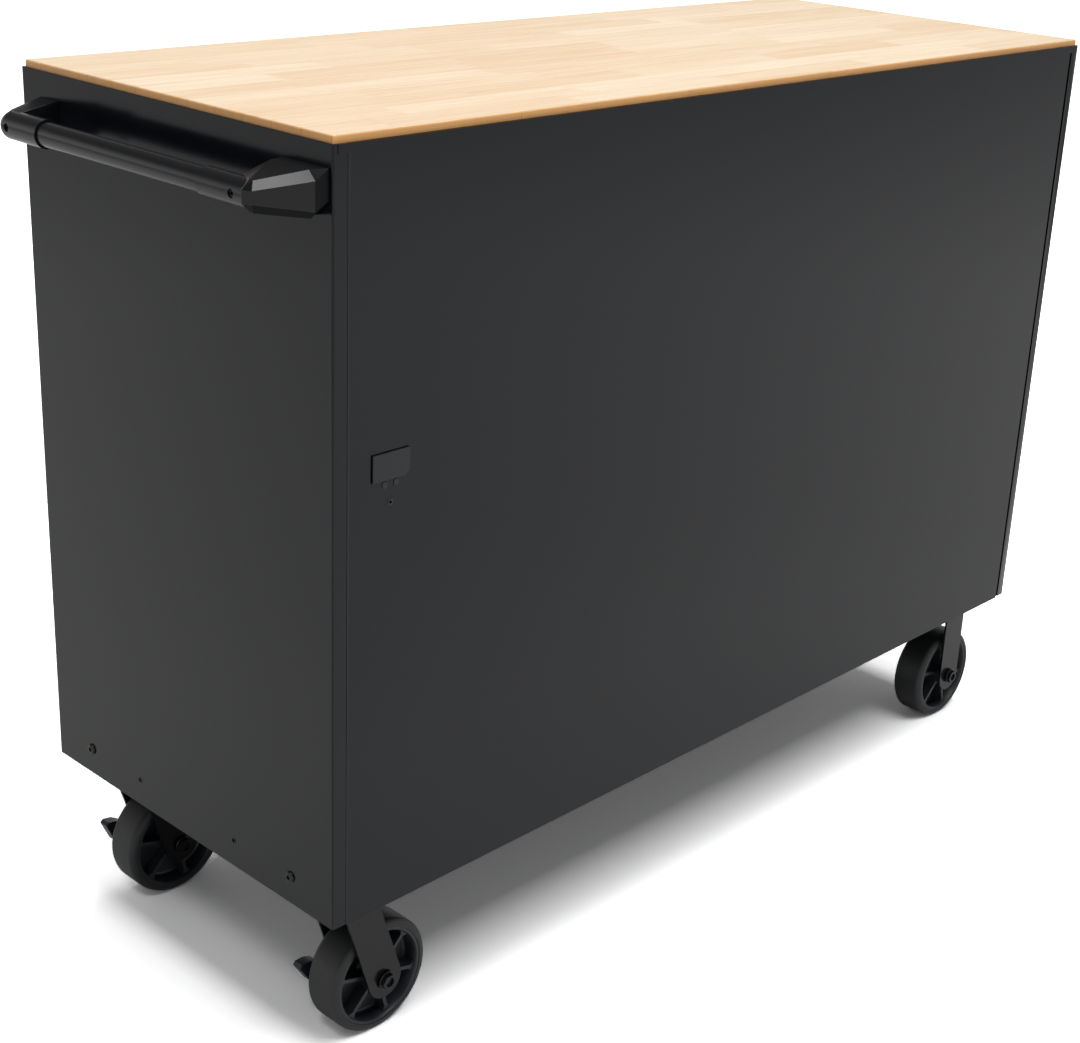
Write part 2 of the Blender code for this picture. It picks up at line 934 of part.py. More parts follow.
def axle_mesh(lever_room):
    """A bolt through both legs, with room for a lever on its -Y side."""
    low = -leg_outer - lever_room
    high = leg_outer
    shaft = cylinder_mesh(
        "shaft", axle_radius, (0, low - axle_head_height, 0), (0, high + axle_head_height, 0), small_sides
    )
    ends = []
    for side, end in ((-1, low), (1, high)):
        start = end + side * seat
        flange_end = start + side * axle_flange_height
        head_start = start + side * seat
        head_end = start + side * axle_head_height
        flange = cylinder_mesh("flange", axle_flange_radius, (0, start, 0), (0, flange_end, 0), small_sides)
        head = cylinder_mesh("head", axle_head_radius, (0, head_start, 0), (0, head_end, 0), hex_sides)
        ends += [flange, head]
    return joined("axle", shaft, ends)


shared_tyre = tyre_mesh()
shared_hub = hub_mesh()
rigid_axle = axle_mesh(0)
swivel_axle = axle_mesh(seat + lever_thickness)

# Caster heights, from the mounting face down
plate_bottom = caster_height - plate_thickness
race_bottom = plate_bottom - race_height
crown_top = race_bottom - running
crown_bottom = crown_top - crown_thickness
axle_height = wheel_radius


def leg_outline(top, top_centre):
    """A leg seen from the side: round below the axle, straight edges up to the top."""
    lean = math.degrees(math.atan2(top_centre, top - axle_height))
    round_end = arc((0, 0), leg_width / 2, -180 - lean, -lean, 12)
    return round_end + [
        (top_centre + leg_width / 2, top - axle_height),
        (top_centre - leg_width / 2, top - axle_height),
    ]


def legs(name, top, top_centre):
    """Two legs in the axle's own place, each with its axle hole."""
    made = []
    for side in (-1, 1):
        place = Matrix.Translation((0, side * (leg_inner + leg_thickness / 2), 0)) @ XZ_PLANE
        made.append(outline_mesh(name, leg_outline(top, top_centre), leg_thickness, place))
    return made


def axle_hole(name):
    reach = leg_outer + cut_overrun
    return cylinder_mesh(name, axle_radius + seat, (0, -reach, 0), (0, reach, 0), small_sides)


def top_plate(name, centre_x, bottom, top):
    half_x = plate_length / 2
    half_y = plate_width / 2
    outline = []
    for way_x, way_y, first in ((1, -1, -90), (1, 1, 0), (-1, 1, 90), (-1, -1, 180)):
        middle = (centre_x + way_x * (half_x - plate_corner), way_y * (half_y - plate_corner))
        outline += arc(middle, plate_corner, first, first + 90, 3)
    return outline_mesh(name, outline, top - bottom, Matrix.Translation((0, 0, (bottom + top) / 2)))


def wheel(name, parent):
    """A wheel body: tyre and hub turn on the axle's pivot."""
    made = pivot(name, parent, (0, 0, 0))
    piece(name + "_tyre", shared_tyre.copy(), rubber, made)
    piece(name + "_hub", shared_hub.copy(), hub_plastic, made)


def rigid_caster(name, x, y):
    """Fixed fork, origin on its axle."""
    centre = pivot(name, root, (x, y, axle_height))
    plate = top_plate(name + "_plate", 0, plate_bottom - axle_height, caster_height - axle_height)
    fork = joined(name + "_blank", plate, legs(name + "_leg", plate_bottom + seat, 0))
    mesh = cut(name + "_fork", fork, [axle_hole(name + "_hole")])
    piece(name + "_fork", mesh, fitting_paint, centre)
    piece(name + "_axle", rigid_axle.copy(), bare_steel, centre)
    wheel(name + "_wheel", centre)


def swivel_caster(name, x, y, pedal_tilt):
    """Swivel fork, origin on its swivel axis. The wheel trails towards -X."""
    centre = pivot(name, root, (x, y, 0))
    base = top_plate(name + "_plate", 0, plate_bottom, caster_height)
    race = cylinder_mesh(
        name + "_race", race_radius, (0, 0, race_bottom), (0, 0, plate_bottom + seat), round_sides
    )
    pin = cylinder_mesh(
        name + "_pin",
        kingpin_radius,
        (0, 0, crown_bottom - running - kingpin_head_height),
        (0, 0, plate_bottom),
        small_sides,
    )
    head = cylinder_mesh(
        name + "_head",
        kingpin_head_radius,
        (0, 0, crown_bottom - running - kingpin_head_height),
        (0, 0, crown_bottom - running),
        6,
    )
    piece(name + "_base", joined(name + "_base", base, [race, pin, head]), fitting_paint, centre)

    turn = pivot(name + "_turn", centre, (0, 0, 0))
    axle = pivot(name + "_axle_place", turn, (-swivel_trail, 0, axle_height))
    crown = box_mesh(
        name + "_crown",
        (-leg_width / 2 + swivel_trail, -leg_outer, crown_bottom - axle_height),
        (leg_width / 2 + swivel_trail, leg_outer, crown_top - axle_height),
    )
    fork = joined(name + "_blank", crown, legs(name + "_leg", crown_bottom + seat, swivel_trail))
    kingpin_hole = cylinder_mesh(
        name + "_kingpin_hole",
        kingpin_radius + running,
        (swivel_trail, 0, crown_bottom - axle_height - cut_overrun),
        (swivel_trail, 0, crown_top - axle_height + cut_overrun),
        small_sides,
    )
    holes = [axle_hole(name + "_hole"), kingpin_hole]
    piece(name + "_fork", cut(name + "_fork", fork, holes), fitting_paint, axle)
    piece(name + "_axle", swivel_axle.copy(), bare_steel, axle)
    wheel(name + "_wheel", axle)
    brake_pedal(name + "_pedal", axle, pedal_tilt)


def brake_pedal(name, parent, tilt):
    """A flat lever round the axle, outside the leg, with a wedge for the foot. Tilt lifts its tip."""
    inner = leg_outer + seat
    toe = (pedal_toe_ahead, -pedal_toe_down)
    wedge_outline = [
        (pedal_heel_ahead, 0),
        toe,
        (pedal_tip_ahead, pedal_tip_up),
        (pedal_tip_ahead - pedal_edge, pedal_top_up),
        (pedal_top_ahead, pedal_top_up),
        (pedal_heel_ahead, pedal_tip_up),
    ]
    wedge_place = Matrix.Translation((0, -inner - pedal_width / 2, 0))
    wedge = outline_mesh(name + "_wedge", wedge_outline, pedal_width, wedge_place @ XZ_PLANE)
    ring = arc((0, 0), lever_ring_radius, 80, 280, 10)
    plate_outline = ring + [(pedal_toe_ahead, 0), (pedal_top_ahead, pedal_tip_up)]
    plate_place = Matrix.Translation((0, -inner - lever_thickness / 2, 0))
    plate = outline_mesh(name + "_plate", plate_outline, lever_thickness, plate_place @ XZ_PLANE)
    hole = cylinder_mesh(
        name + "_hole",
        axle_radius + running,
        (0, -inner - lever_thickness - cut_overrun, 0),
        (0, -inner + cut_overrun, 0),
        small_sides,
    )
    place = pivot(name, parent, (0, 0, 0))
    made = cut(name + "_lever", joined(name + "_body", plate, [wedge]), [hole])
    made.transform(Matrix.Rotation(-tilt, 4, "Y"))
    piece(name + "_lever", made, hub_plastic, place)


caster_y = half_depth - caster_from_side
swivel_x = half_width - swivel_from_end
rigid_x = -half_width + rigid_from_end
swivel_caster("swivel_caster_rear", swivel_x, caster_y, 0)
swivel_caster("swivel_caster_front", swivel_x, -caster_y, pedal_front_tilt)
rigid_caster("rigid_caster_rear", rigid_x, caster_y)
rigid_caster("rigid_caster_front", rigid_x, -caster_y)
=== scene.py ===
"""A steel tool cart with a wooden worktop, seen from the end that carries the push bar.

Metres, +Z up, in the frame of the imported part. The sections follow the cart as it is put together.
"""
import math

import bmesh
import bpy
from mathutils import Euler, Matrix, Vector


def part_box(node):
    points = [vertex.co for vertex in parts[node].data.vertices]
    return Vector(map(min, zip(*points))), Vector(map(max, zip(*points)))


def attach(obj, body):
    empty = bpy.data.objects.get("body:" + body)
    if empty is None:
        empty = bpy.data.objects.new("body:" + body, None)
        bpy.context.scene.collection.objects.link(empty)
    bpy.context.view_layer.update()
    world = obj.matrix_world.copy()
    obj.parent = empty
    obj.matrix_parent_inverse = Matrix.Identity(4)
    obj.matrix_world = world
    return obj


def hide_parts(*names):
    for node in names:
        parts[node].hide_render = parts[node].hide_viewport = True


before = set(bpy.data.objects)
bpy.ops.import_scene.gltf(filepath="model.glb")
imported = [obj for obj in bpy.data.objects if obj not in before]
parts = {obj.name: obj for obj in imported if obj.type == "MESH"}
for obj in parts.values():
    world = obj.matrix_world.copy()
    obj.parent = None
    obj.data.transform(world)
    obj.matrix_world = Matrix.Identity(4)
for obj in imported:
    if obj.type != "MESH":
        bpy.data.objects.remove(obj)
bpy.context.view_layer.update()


# The camera stands behind the rear corner of the bar end, at chest height, and looks down at
# the cart. It is tipped sideways by under three degrees, as in the photograph.
camera_place = (1.5809, 1.4518, 1.2468)
camera_tilt = (69.040, -2.716, 133.341)
focal_px = 1888.25
photo_px = (1080, 1043)
sight_centre_px = (581.87, 489.07)
sensor_mm = 36


def placed(name, data):
    """An object in the scene, at the origin."""
    made = bpy.data.objects.new(name, data)
    bpy.context.scene.collection.objects.link(made)
    return made


view = bpy.data.cameras.new("photo_view")
view.sensor_width = sensor_mm
view.lens = focal_px * sensor_mm / photo_px[0]
view.shift_x = -(sight_centre_px[0] - photo_px[0] / 2) / photo_px[0]
view.shift_y = (sight_centre_px[1] - photo_px[1] / 2) / photo_px[0]
camera = placed("photo_view", view)
camera.location = camera_place
camera.rotation_euler = Euler([math.radians(angle) for angle in camera_tilt])
bpy.context.scene.camera = camera


# Side panels: 1 mm steel sheet, folded in at the front and rear corners on a press brake.
# Their coat is semi-gloss black powder. It hides the metal and mirrors the white studio softly.
sheet = 0.0010
bend_radius = 0.0020
bend_steps = 5
dulled_edge = 0.0003
dulled_degrees = 60
seam_wide = 0.0013
seam_foot = 0.35
seam_deep = 0.0034
joint_from_far_corner = 0.0161
joint_gap = 0.0050
joint_below_top = 0.0055
coat_black = "#0A0D12"
coat_roughness = 0.16
coat_ior = 1.375
coat_peel = 0.0012
peel_wide_per_deep = 12
peel_relief = 0.08
cloud_wide = 1 / 7
cloud_gain = 1.3
cloud_gloss = 0.02


def linear(hex_colour, gain=1.0):
    """An sRGB hex colour as the linear values that a shader takes."""
    values = [int(hex_colour[start:start + 2], 16) / 255 for start in (1, 3, 5)]
    return [gain * (v / 12.92 if v <= 0.04045 else ((v + 0.055) / 1.055) ** 2.4) for v in values] + [1]


def feed(tree, node, inputs):
    """Gives each input a value, another node's socket, or a node for its first socket."""
    for key, value in inputs.items():
        if isinstance(value, bpy.types.Node):
            value = value.outputs[0]
        if isinstance(value, bpy.types.NodeSocket):
            tree.links.new(value, node.inputs[key])
        else:
            node.inputs[key].default_value = value


def add(tree, kind, inputs=None, **settings):
    """One node with its settings and its inputs."""
    made = tree.nodes.new(kind)
    for name, value in settings.items():
        setattr(made, name, value)
    feed(tree, made, inputs or {})
    return made


def start_finish(name, colour, roughness, metallic=0.0, ior=1.5):
    """A principled material with its plain values set, and what its pattern hangs on."""
    made = bpy.data.materials.new(name)
    made.use_nodes = True
    made.diffuse_color = linear(colour)
    tree = made.node_tree
    shader = tree.nodes["Principled BSDF"]
    feed(tree, shader, {"Base Color": linear(colour), "Roughness": roughness, "Metallic": metallic})
    if not metallic:
        shader.inputs["IOR"].default_value = ior
    return made, tree, shader, add(tree, "ShaderNodeTexCoord").outputs["Object"]


def powder_coat(name, colour, roughness, peel, ior):
    """Baked polyester powder: it flows out to a fine orange peel, a little cloudy in its gloss.

    Its own IOR is near 1.5. It is set lower here, to what each piece mirrors in the photograph.
    """
    made, tree, shader, place = start_finish(name, colour, roughness, ior=ior)
    cloud = add(tree, "ShaderNodeTexNoise", {"Vector": place, "Scale": 1 / cloud_wide, "Detail": 3.0})
    skin = add(tree, "ShaderNodeTexNoise", {"Vector": place, "Scale": 1 / peel, "Detail": 2.0})
    tone = add(tree, "ShaderNodeMix", {
        "Factor": cloud, 6: linear(colour), 7: linear(colour, cloud_gain)}, data_type="RGBA")
    gloss = add(tree, "ShaderNodeMapRange", {
        "Value": cloud, "From Min": 0.3, "From Max": 0.7,
        "To Min": roughness - cloud_gloss, "To Max": roughness + cloud_gloss})
    relief = add(tree, "ShaderNodeBump", {
        "Height": skin, "Strength": peel_relief, "Distance": peel / peel_wide_per_deep})
    feed(tree, shader, {"Base Color": tone.outputs[2], "Roughness": gloss, "Normal": relief})
    return made


def settled(name, mesh, modify):
    """The mesh with its modifiers applied, so that the finished piece is plain."""
    work = placed(name, mesh)
    modify(work)
    graph = bpy.context.evaluated_depsgraph_get()
    made = bpy.data.meshes.new_from_object(work.evaluated_get(graph))
    made.name = name
    bpy.data.objects.remove(work)
    return made


def mesh_of(bm, name, outwards=True):
    """The worked shape as a mesh, with its faces turned outwards unless they already are."""
    if outwards:
        bmesh.ops.recalc_face_normals(bm, faces=bm.faces)
    made = bpy.data.meshes.new(name)
    bm.to_mesh(made)
    bm.free()
    return made


def eased(name, mesh, radius, steps, sharp):
    """The mesh with edges over so many degrees rounded, and its flats kept flat in the light."""
    def modify(work):
        edge = work.modifiers.new("edge", "BEVEL")
        edge.width = radius
        edge.segments = steps
        edge.limit_method = "ANGLE"
        edge.angle_limit = math.radians(sharp)
        flats = work.modifiers.new("flats", "WEIGHTED_NORMAL")
        flats.keep_sharp = True

    mesh.shade_smooth()
    return settled(name, mesh, modify)


def coat(mesh, material):
    """The mesh gets its finish, in place of any other."""
    mesh.materials.clear()
    mesh.materials.append(material)


def fit(name, mesh, material, body, slot, *nodes):
    """The finished piece: it rides on a body and stands for the CAD nodes that it replaces."""
    made = placed(name, mesh)
    coat(mesh, material)
    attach(made, body)
    if nodes:
        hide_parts(*nodes)


def bent_path(corners, radius, steps):
    """The path of a folded sheet, each of its corners turned into an arc."""
    path = [Vector(corners[0])]
    for before, corner, after in zip(corners, corners[1:], corners[2:]):
        corner = Vector(corner)
        back = (Vector(before) - corner).normalized()
        ahead = (Vector(after) - corner).normalized()
        half = back.angle(ahead) / 2
        middle = corner + (back + ahead).normalized() * radius / math.sin(half)
        start = (corner + back * radius / math.tan(half) - middle).normalized()
        stop = (corner + ahead * radius / math.tan(half) - middle).normalized()
        path += [middle + start.slerp(stop, step / steps) * radius for step in range(steps + 1)]
    return path + [Vector(corners[-1])]


def folded(name, corners, along, thickness, side):
    """A sheet folded along a path, pushed along a vector, with its wall grown to one side."""
    bm = bmesh.new()
    path = bent_path(corners, bend_radius, bend_steps)
    rows = [[bm.verts.new(point + push) for point in path] for push in (Vector(), Vector(along))]
    for index in range(len(path) - 1):
        bm.faces.new((rows[0][index], rows[0][index + 1], rows[1][index + 1], rows[1][index]))

    def modify(work):
        wall = work.modifiers.new("wall", "SOLIDIFY")
        wall.thickness = thickness
        wall.offset = side
        wall.use_even_offset = True

    walled = bmesh.new()
    walled.from_mesh(settled(name, mesh_of(bm, name, outwards=False), modify))
    return eased(name, mesh_of(walled, name), dulled_edge, steps=2, sharp=dulled_degrees)


def cut_and_joined(name, base, others):
    """The base with other closed meshes joined to it or cut from it, in order."""
    tools = [(kind, placed(name + "_tool", mesh)) for kind, mesh in others]

    def modify(work):
        for kind, tool in tools:
            step = work.modifiers.new(kind, "BOOLEAN")
            step.operation = kind
            step.solver = "EXACT"
            step.object = tool

    made = settled(name, base, modify)
    for kind, tool in tools:
        bpy.data.objects.remove(tool)
    return made


def block(name, centre, size):
    """A plain block, to join or to cut with."""
    bm = bmesh.new()
    bmesh.ops.create_cube(bm, matrix=Matrix.Translation(centre) @ Matrix.Diagonal((*size, 1)))
    return mesh_of(bm, name)


case_coat = powder_coat("powder_coated_sheet_steel", coat_black, coat_roughness, coat_peel, coat_ior)
case_low, case_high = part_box("side_panel_bar_end")
case_middle_y = (case_low.y + case_high.y) / 2
for end in ("bar_end", "far_end"):
    node = f"side_panel_{end}"
    low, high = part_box(node)
    tall = high.z - low.z
    middle_z = (low.z + high.z) / 2
    outer, inner, side = (high.x, low.x, -1) if end == "bar_end" else (low.x, high.x, 1)
    corners = [(x, y, low.z) for x, y in ((inner, low.y), (outer, low.y), (outer, high.y), (inner, high.y))]
    lean = math.copysign(math.pi / 4, inner - outer)
    seam = bmesh.new()
    bmesh.ops.create_cube(seam, matrix=Matrix.Translation((outer, high.y, middle_z))
                          @ Matrix.Rotation(lean, 4, "Z")
                          @ Matrix.Diagonal((seam_wide, seam_deep, tall + sheet, 1)))
    foot = [vert for vert in seam.verts if vert.co.z < middle_z]
    foot_middle = sum((vert.co for vert in foot), Vector()) / len(foot)
    across = Vector((math.cos(lean), math.sin(lean), 0))
    for vert in foot:
        vert.co -= across * (vert.co - foot_middle).dot(across) * (1 - seam_foot)
    cuts = [("DIFFERENCE", mesh_of(seam, "seam"))]
    if end == "far_end":
        gap_middle = Vector((outer + joint_from_far_corner, high.y, middle_z - joint_below_top))
        cuts.append(("DIFFERENCE", block("joint", gap_middle, (joint_gap, 4 * sheet, tall))))
    bent = folded(node, corners, (0, 0, tall), sheet, side)
    fit(f"{node}_folded", cut_and_joined(node, bent, cuts), case_coat, "cabinet", "case_paint", node)

for node in ("bottom_pan", "top_tray", "top_front_rail", "centre_divider",
             "caster_channel_bar_end", "caster_channel_far_end"):
    coat(parts[node].data, case_coat)


# Side screws: black steel, four in a row near the bottom edge of the side panel. They hold the
# pan. The outer two have button heads, the inner two sit in their holes, turned at random.
screw_above_edge = 0.030
outer_screw_out = 0.173
inner_screw_out = 0.082
button_radius = 0.0062
button_height = 0.0026
button_socket = 0.0025
button_rim = 0.0007
sunk_radius = 0.0036
sunk_height = 0.0005
sunk_socket = 0.0024
sunk_rim = 0.0001
crown_per_socket = 1.35
crown_steps = 6
socket_deep = 0.0018
socket_taper = 0.94
screw_sides = 36
screw_sharp_degrees = 35
turn_seed = 1
oxide_black = "#3A3C37"
oxide_roughness = 0.36
oxide_cloud = 1 / 400
oxide_gloss = 0.1


def creased(mesh, sharp):
    """The mesh shaded smooth, apart from edges over so many degrees."""
    mesh.shade_smooth()
    mesh.set_sharp_from_angle(angle=math.radians(sharp))
    return mesh


def stacked(name, rows, sides, sharp):
    """A closed solid of rings up Z: circles, hexagons, or hexagons whose corners a circle cuts.

    Each row is the circle's radius, the hexagon's corner radius and the height.
    """
    bm = bmesh.new()
    rings = []
    for radius, corner_radius, up in rows:
        ring = []
        for step in range(sides):
            angle = math.tau * step / sides
            flat = corner_radius * math.cos(math.pi / 6) / math.cos(angle % (math.pi / 3) - math.pi / 6)
            reach = min(radius, flat)
            ring.append(bm.verts.new((reach * math.cos(angle), reach * math.sin(angle), up)))
        rings.append(ring)
    for ring, after in zip(rings, rings[1:]):
        for index in range(sides):
            following = (index + 1) % sides
            bm.faces.new((ring[index], ring[following], after[following], after[index]))
    bm.faces.new(rings[-1])
    bm.faces.new(list(reversed(rings[0])))
    return creased(mesh_of(bm, name), sharp)


def socket_screw(name, head_radius, height, socket_radius, rim):
    """A round screw head with a hexagonal socket. Its seat is at the origin and it looks up Z."""
    crown = socket_radius * crown_per_socket
    rows = [(head_radius, math.inf, 0), (head_radius, math.inf, rim)]
    for step in range(1, crown_steps + 1):
        angle = math.pi / 2 * step / crown_steps
        rows.append((crown + (head_radius - crown) * math.cos(angle), math.inf,
                     rim + (height - rim) * math.sin(angle)))
    rows += [(math.inf, socket_radius, height),
             (math.inf, socket_radius * socket_taper, height - min(height, socket_deep))]
    return stacked(name, rows, screw_sides, screw_sharp_degrees)


def named_tree(name, inputs, result):
    """A Geometry Nodes tree with its inputs, by name and kind, and the sockets that bring them."""
    tree = bpy.data.node_groups.new(name, "GeometryNodeTree")
    for title, kind in inputs.items():
        tree.interface.new_socket(title, in_out="INPUT", socket_type=f"NodeSocket{kind}")
    tree.interface.new_socket(result, in_out="OUTPUT", socket_type="NodeSocketGeometry")
    return tree, add(tree, "NodeGroupInput").outputs


def end_in_copies(tree, result, points, piece, turn, finish):
    """Ends a tree: the piece set on every point, made real, with its material."""
    copies = add(tree, "GeometryNodeInstanceOnPoints", {"Points": points, "Instance": piece, "Rotation": turn})
    solid = add(tree, "GeometryNodeRealizeInstances", {"Geometry": copies})
    dressed = add(tree, "GeometryNodeSetMaterial", {"Geometry": solid, "Material": finish})
    add(tree, "NodeGroupOutput", {result: dressed})


def set_on_points():
    """Geometry Nodes: one piece set on every point, looking one way, each turned at random."""
    tree, given = named_tree("set_on_points", {
        "Points": "Geometry", "Piece": "Object", "Way": "Vector", "Finish": "Material",
        "Seed": "Int"}, "Pieces")
    piece = add(tree, "GeometryNodeObjectInfo", {"Object": given["Piece"]})
    turn = add(tree, "FunctionNodeRandomValue", {"Seed": given["Seed"], "Max": math.tau})
    about = add(tree, "ShaderNodeCombineXYZ", {"Z": turn.outputs[1]})
    spun = add(tree, "FunctionNodeEulerToRotation", {"Euler": about})
    look = add(tree, "FunctionNodeAlignRotationToVector", {"Vector": given["Way"]}, axis="Z")
    both = add(tree, "FunctionNodeRotateRotation", {"Rotation": look, "Rotate By": spun},
               rotation_space="LOCAL")
    end_in_copies(tree, "Pieces", given["Points"], piece.outputs["Geometry"], both, given["Finish"])
    return tree


def grown(name, mesh, tree, values):
    """What a Geometry Nodes tree makes from a mesh, as a plain mesh. Values go in by input name."""
    def modify(work):
        nodes = work.modifiers.new("nodes", "NODES")
        nodes.node_group = tree
        named = {item.name: item.identifier for item in tree.interface.items_tree if item.in_out == "INPUT"}
        for key, value in values.items():
            nodes[named[key]] = value

    return settled(name, mesh, modify)


def set_pieces(name, piece_mesh, points, way, material):
    """Copies of a small piece at these points, as one plain mesh."""
    pattern = placed(name + "_pattern", piece_mesh)
    points_mesh = bpy.data.meshes.new(name + "_points")
    points_mesh.from_pydata(points, [], [])
    made = grown(name, points_mesh, set_tree, {
        "Piece": pattern, "Way": way, "Finish": material, "Seed": turn_seed})
    bpy.data.objects.remove(pattern)
    return made


# Black-oxide steel: a thin dark skin over metal, so its lights stay metallic and warm.
screw_black, tree, shader, place = start_finish(
    "black_oxide_screw_steel", oxide_black, oxide_roughness, metallic=1.0)
cloud = add(tree, "ShaderNodeTexNoise", {"Vector": place, "Scale": 1 / oxide_cloud, "Detail": 4.0})
gloss = add(tree, "ShaderNodeMapRange", {
    "Value": cloud, "To Min": oxide_roughness - oxide_gloss, "To Max": oxide_roughness + oxide_gloss})
feed(tree, shader, {"Roughness": gloss})

set_tree = set_on_points()
button = socket_screw("button_screw", button_radius, button_height, button_socket, button_rim)
sunk = socket_screw("sunk_screw", sunk_radius, sunk_height, sunk_socket, sunk_rim)
for kind, mesh, out in (("button", button, outer_screw_out), ("sunk", sunk, inner_screw_out)):
    places = [(case_high.x, case_middle_y + y, case_low.z + screw_above_edge) for y in (-out, out)]
    made = set_pieces(f"side_screws_{kind}", mesh, places, (1, 0, 0), screw_black)
    fit(f"side_screws_{kind}", made, screw_black, "cabinet", "fitting_paint")


# Rear panel: a flat sheet fixed over the rear flanges, 1 mm proud of them, its edges dressed to a
# slope. A small cover plate closes its cut-out, held by two lugs and a pan-head screw.
panel_slope = 0.0012
panel_cut_back = 0.0040
end_facing = 0.9
slope_facing = 0.2
weld_within = 1e-6
flat_degrees = 0.5
lug_apart = 0.0069
lug_below = 0.0045
lug_size = (0.0056, 0.0007, 0.0062)
lug_edge = 0.0006
plate_edge = 0.0005
plate_screw_below = 0.0225
plate_screw_radius = 0.0036
plate_screw_height = 0.0009
plate_screw_socket = 0.0016
plate_screw_rim = 0.0002
painted_highlight_grey = "#1B1E22"
painted_highlight_roughness = 0.30
painted_highlight_ior = 1.46
plate_black = "#1B1D21"
plate_roughness = 0.22
plate_ior = 1.42


def blank(node):
    """A copy of a CAD node with its loose triangles merged and its flats joined."""
    bm = bmesh.new()
    bm.from_mesh(parts[node].data)
    bmesh.ops.remove_doubles(bm, verts=bm.verts, dist=weld_within)
    bmesh.ops.dissolve_limit(bm, angle_limit=math.radians(flat_degrees), verts=bm.verts, edges=bm.edges)
    return mesh_of(bm, node, outwards=False)


def fit_eased(node, how_made, material, body, slot, radius, steps, sharp):
    """A CAD node's own shape with its edges rounded, fitted in the node's place."""
    fit(f"{node}_{how_made}", eased(node, blank(node), radius, steps, sharp), material, body, slot, node)


# Painted highlight: a greyer coat on the dressed edge draws a soft light line down the corner, where the edge
# itself would mirror the dark flange.
painted_highlight_coat = powder_coat("powder_coat_painted_edge_highlight", painted_highlight_grey, painted_highlight_roughness, coat_peel, painted_highlight_ior)
# The small plate has a coat of its own, greyer and duller than the sheet, so it stands out.
plate_coat = powder_coat("powder_coated_plate_steel", plate_black, plate_roughness, coat_peel, plate_ior)
mesh = blank("rear_panel")
low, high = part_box("rear_panel")
ends = [face for face in mesh.polygons if face.normal.x > end_facing]
for corner in {index for face in ends for index in face.vertices}:
    if mesh.vertices[corner].co.y > high.y - sheet / 2:
        mesh.vertices[corner].co.x -= panel_slope
for vert in mesh.vertices:
    if low.x + sheet < vert.co.x < 0:
        vert.co.x += panel_cut_back
fit("rear_panel_sheet", mesh, case_coat, "cabinet", "case_paint", "rear_panel")
mesh.materials.append(painted_highlight_coat)
# Painted highlight: the edge faces that turn towards +X take the greyer coat.
for face in mesh.polygons:
    face.material_index = int(face.normal.x > slope_facing and 0 < face.center.x < high.x - 2 * panel_slope)

fit_eased("rear_cover_plate", "pressed", plate_coat, "cabinet", "case_paint",
          radius=plate_edge, steps=3, sharp=40)
plate_low, plate_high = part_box("rear_cover_plate")
plate_x = (plate_low.x + plate_high.x) / 2
panel_face = high.y
lug_y = panel_face + lug_size[1] / 2
lugs = [block("lug", Vector((plate_x + across, lug_y, plate_low.z - lug_below)), lug_size)
        for across in (-lug_apart, lug_apart)]
lugs = cut_and_joined("rear_plate_lugs", lugs[0], [("UNION", lugs[1])])
lugs = eased("rear_plate_lugs", lugs, lug_edge, steps=3, sharp=30)
fit("rear_plate_lugs", lugs, plate_coat, "cabinet", "case_paint")
pan_screw = socket_screw("pan_screw", plate_screw_radius, plate_screw_height,
                         plate_screw_socket, plate_screw_rim)
places = [(plate_x, panel_face, plate_low.z - plate_screw_below)]
fit("rear_plate_screw", set_pieces("rear_plate_screw", pan_screw, places, (0, 1, 0), plate_coat), plate_coat,
    "cabinet", "case_paint")


# Worktop: rubberwood staves, finger-jointed end to end and glued edge to edge, sanded and
# lacquered. It is sunk in the top of the case, and its staves run along the cart.
stave_wide = 0.040
block_long = 0.235
finger_pitch = 0.0045
finger_long = 0.0100
glue_wide = 0.0007
grain_size = (0.1100, 0.0022, 0.0022)
drift_size = (0.16, 0.009, 0.009)
pore_size = (0.012, 0.0007, 0.0007)
row_shift = 7
block_shift = (9, 9, 9)
wood_pale = "#F5E0C2"
wood_warm = "#E2BE8F"
wood_edge = "#F8B972"
wood_vein = "#A87440"
wood_roughness = 0.32
edge_gains = (1.06, 0.92)
block_warmth = 0.55
streak_warmth = 0.4
drift_warmth = 0.35
glue_shade = 0.45
pore_shade = 0.22

# Lacquered rubberwood: pale blocks, each a little cooler or warmer, with soft streaks, short dark
# pores and thin glue lines under a low sheen. Its sawn edges are more orange.
wood, tree, shader, place = start_finish("lacquered_rubberwood", wood_pale, wood_roughness)
split = add(tree, "ShaderNodeSeparateXYZ", {"Vector": place}).outputs
row = add(tree, "ShaderNodeMath", {0: split["Y"], 1: stave_wide}, operation="DIVIDE")
row_number = add(tree, "ShaderNodeMath", {0: row}, operation="FLOOR")
row_luck = add(tree, "ShaderNodeTexWhiteNoise", {"W": row_number}, noise_dimensions="1D")
finger = add(tree, "ShaderNodeMath", {0: split["Y"], 1: finger_pitch / 2}, operation="PINGPONG")
finger = add(tree, "ShaderNodeMath", {0: finger, 1: 2 * finger_long / finger_pitch}, operation="MULTIPLY")
along = add(tree, "ShaderNodeMath", {0: split["X"], 1: finger}, operation="ADD")
along = add(tree, "ShaderNodeMath", {0: along, 1: block_long}, operation="DIVIDE")
shift = add(tree, "ShaderNodeMath", {0: row_luck, 1: row_shift}, operation="MULTIPLY")
along = add(tree, "ShaderNodeMath", {0: along, 1: shift}, operation="ADD")
block_number = add(tree, "ShaderNodeMath", {0: along}, operation="FLOOR")
block_place = add(tree, "ShaderNodeCombineXYZ", {"X": row_number, "Y": block_number})
luck = add(tree, "ShaderNodeTexWhiteNoise", {"Vector": block_place}, noise_dimensions="3D").outputs
jump = add(tree, "ShaderNodeVectorMath", {0: luck["Color"], 1: block_shift}, operation="MULTIPLY")

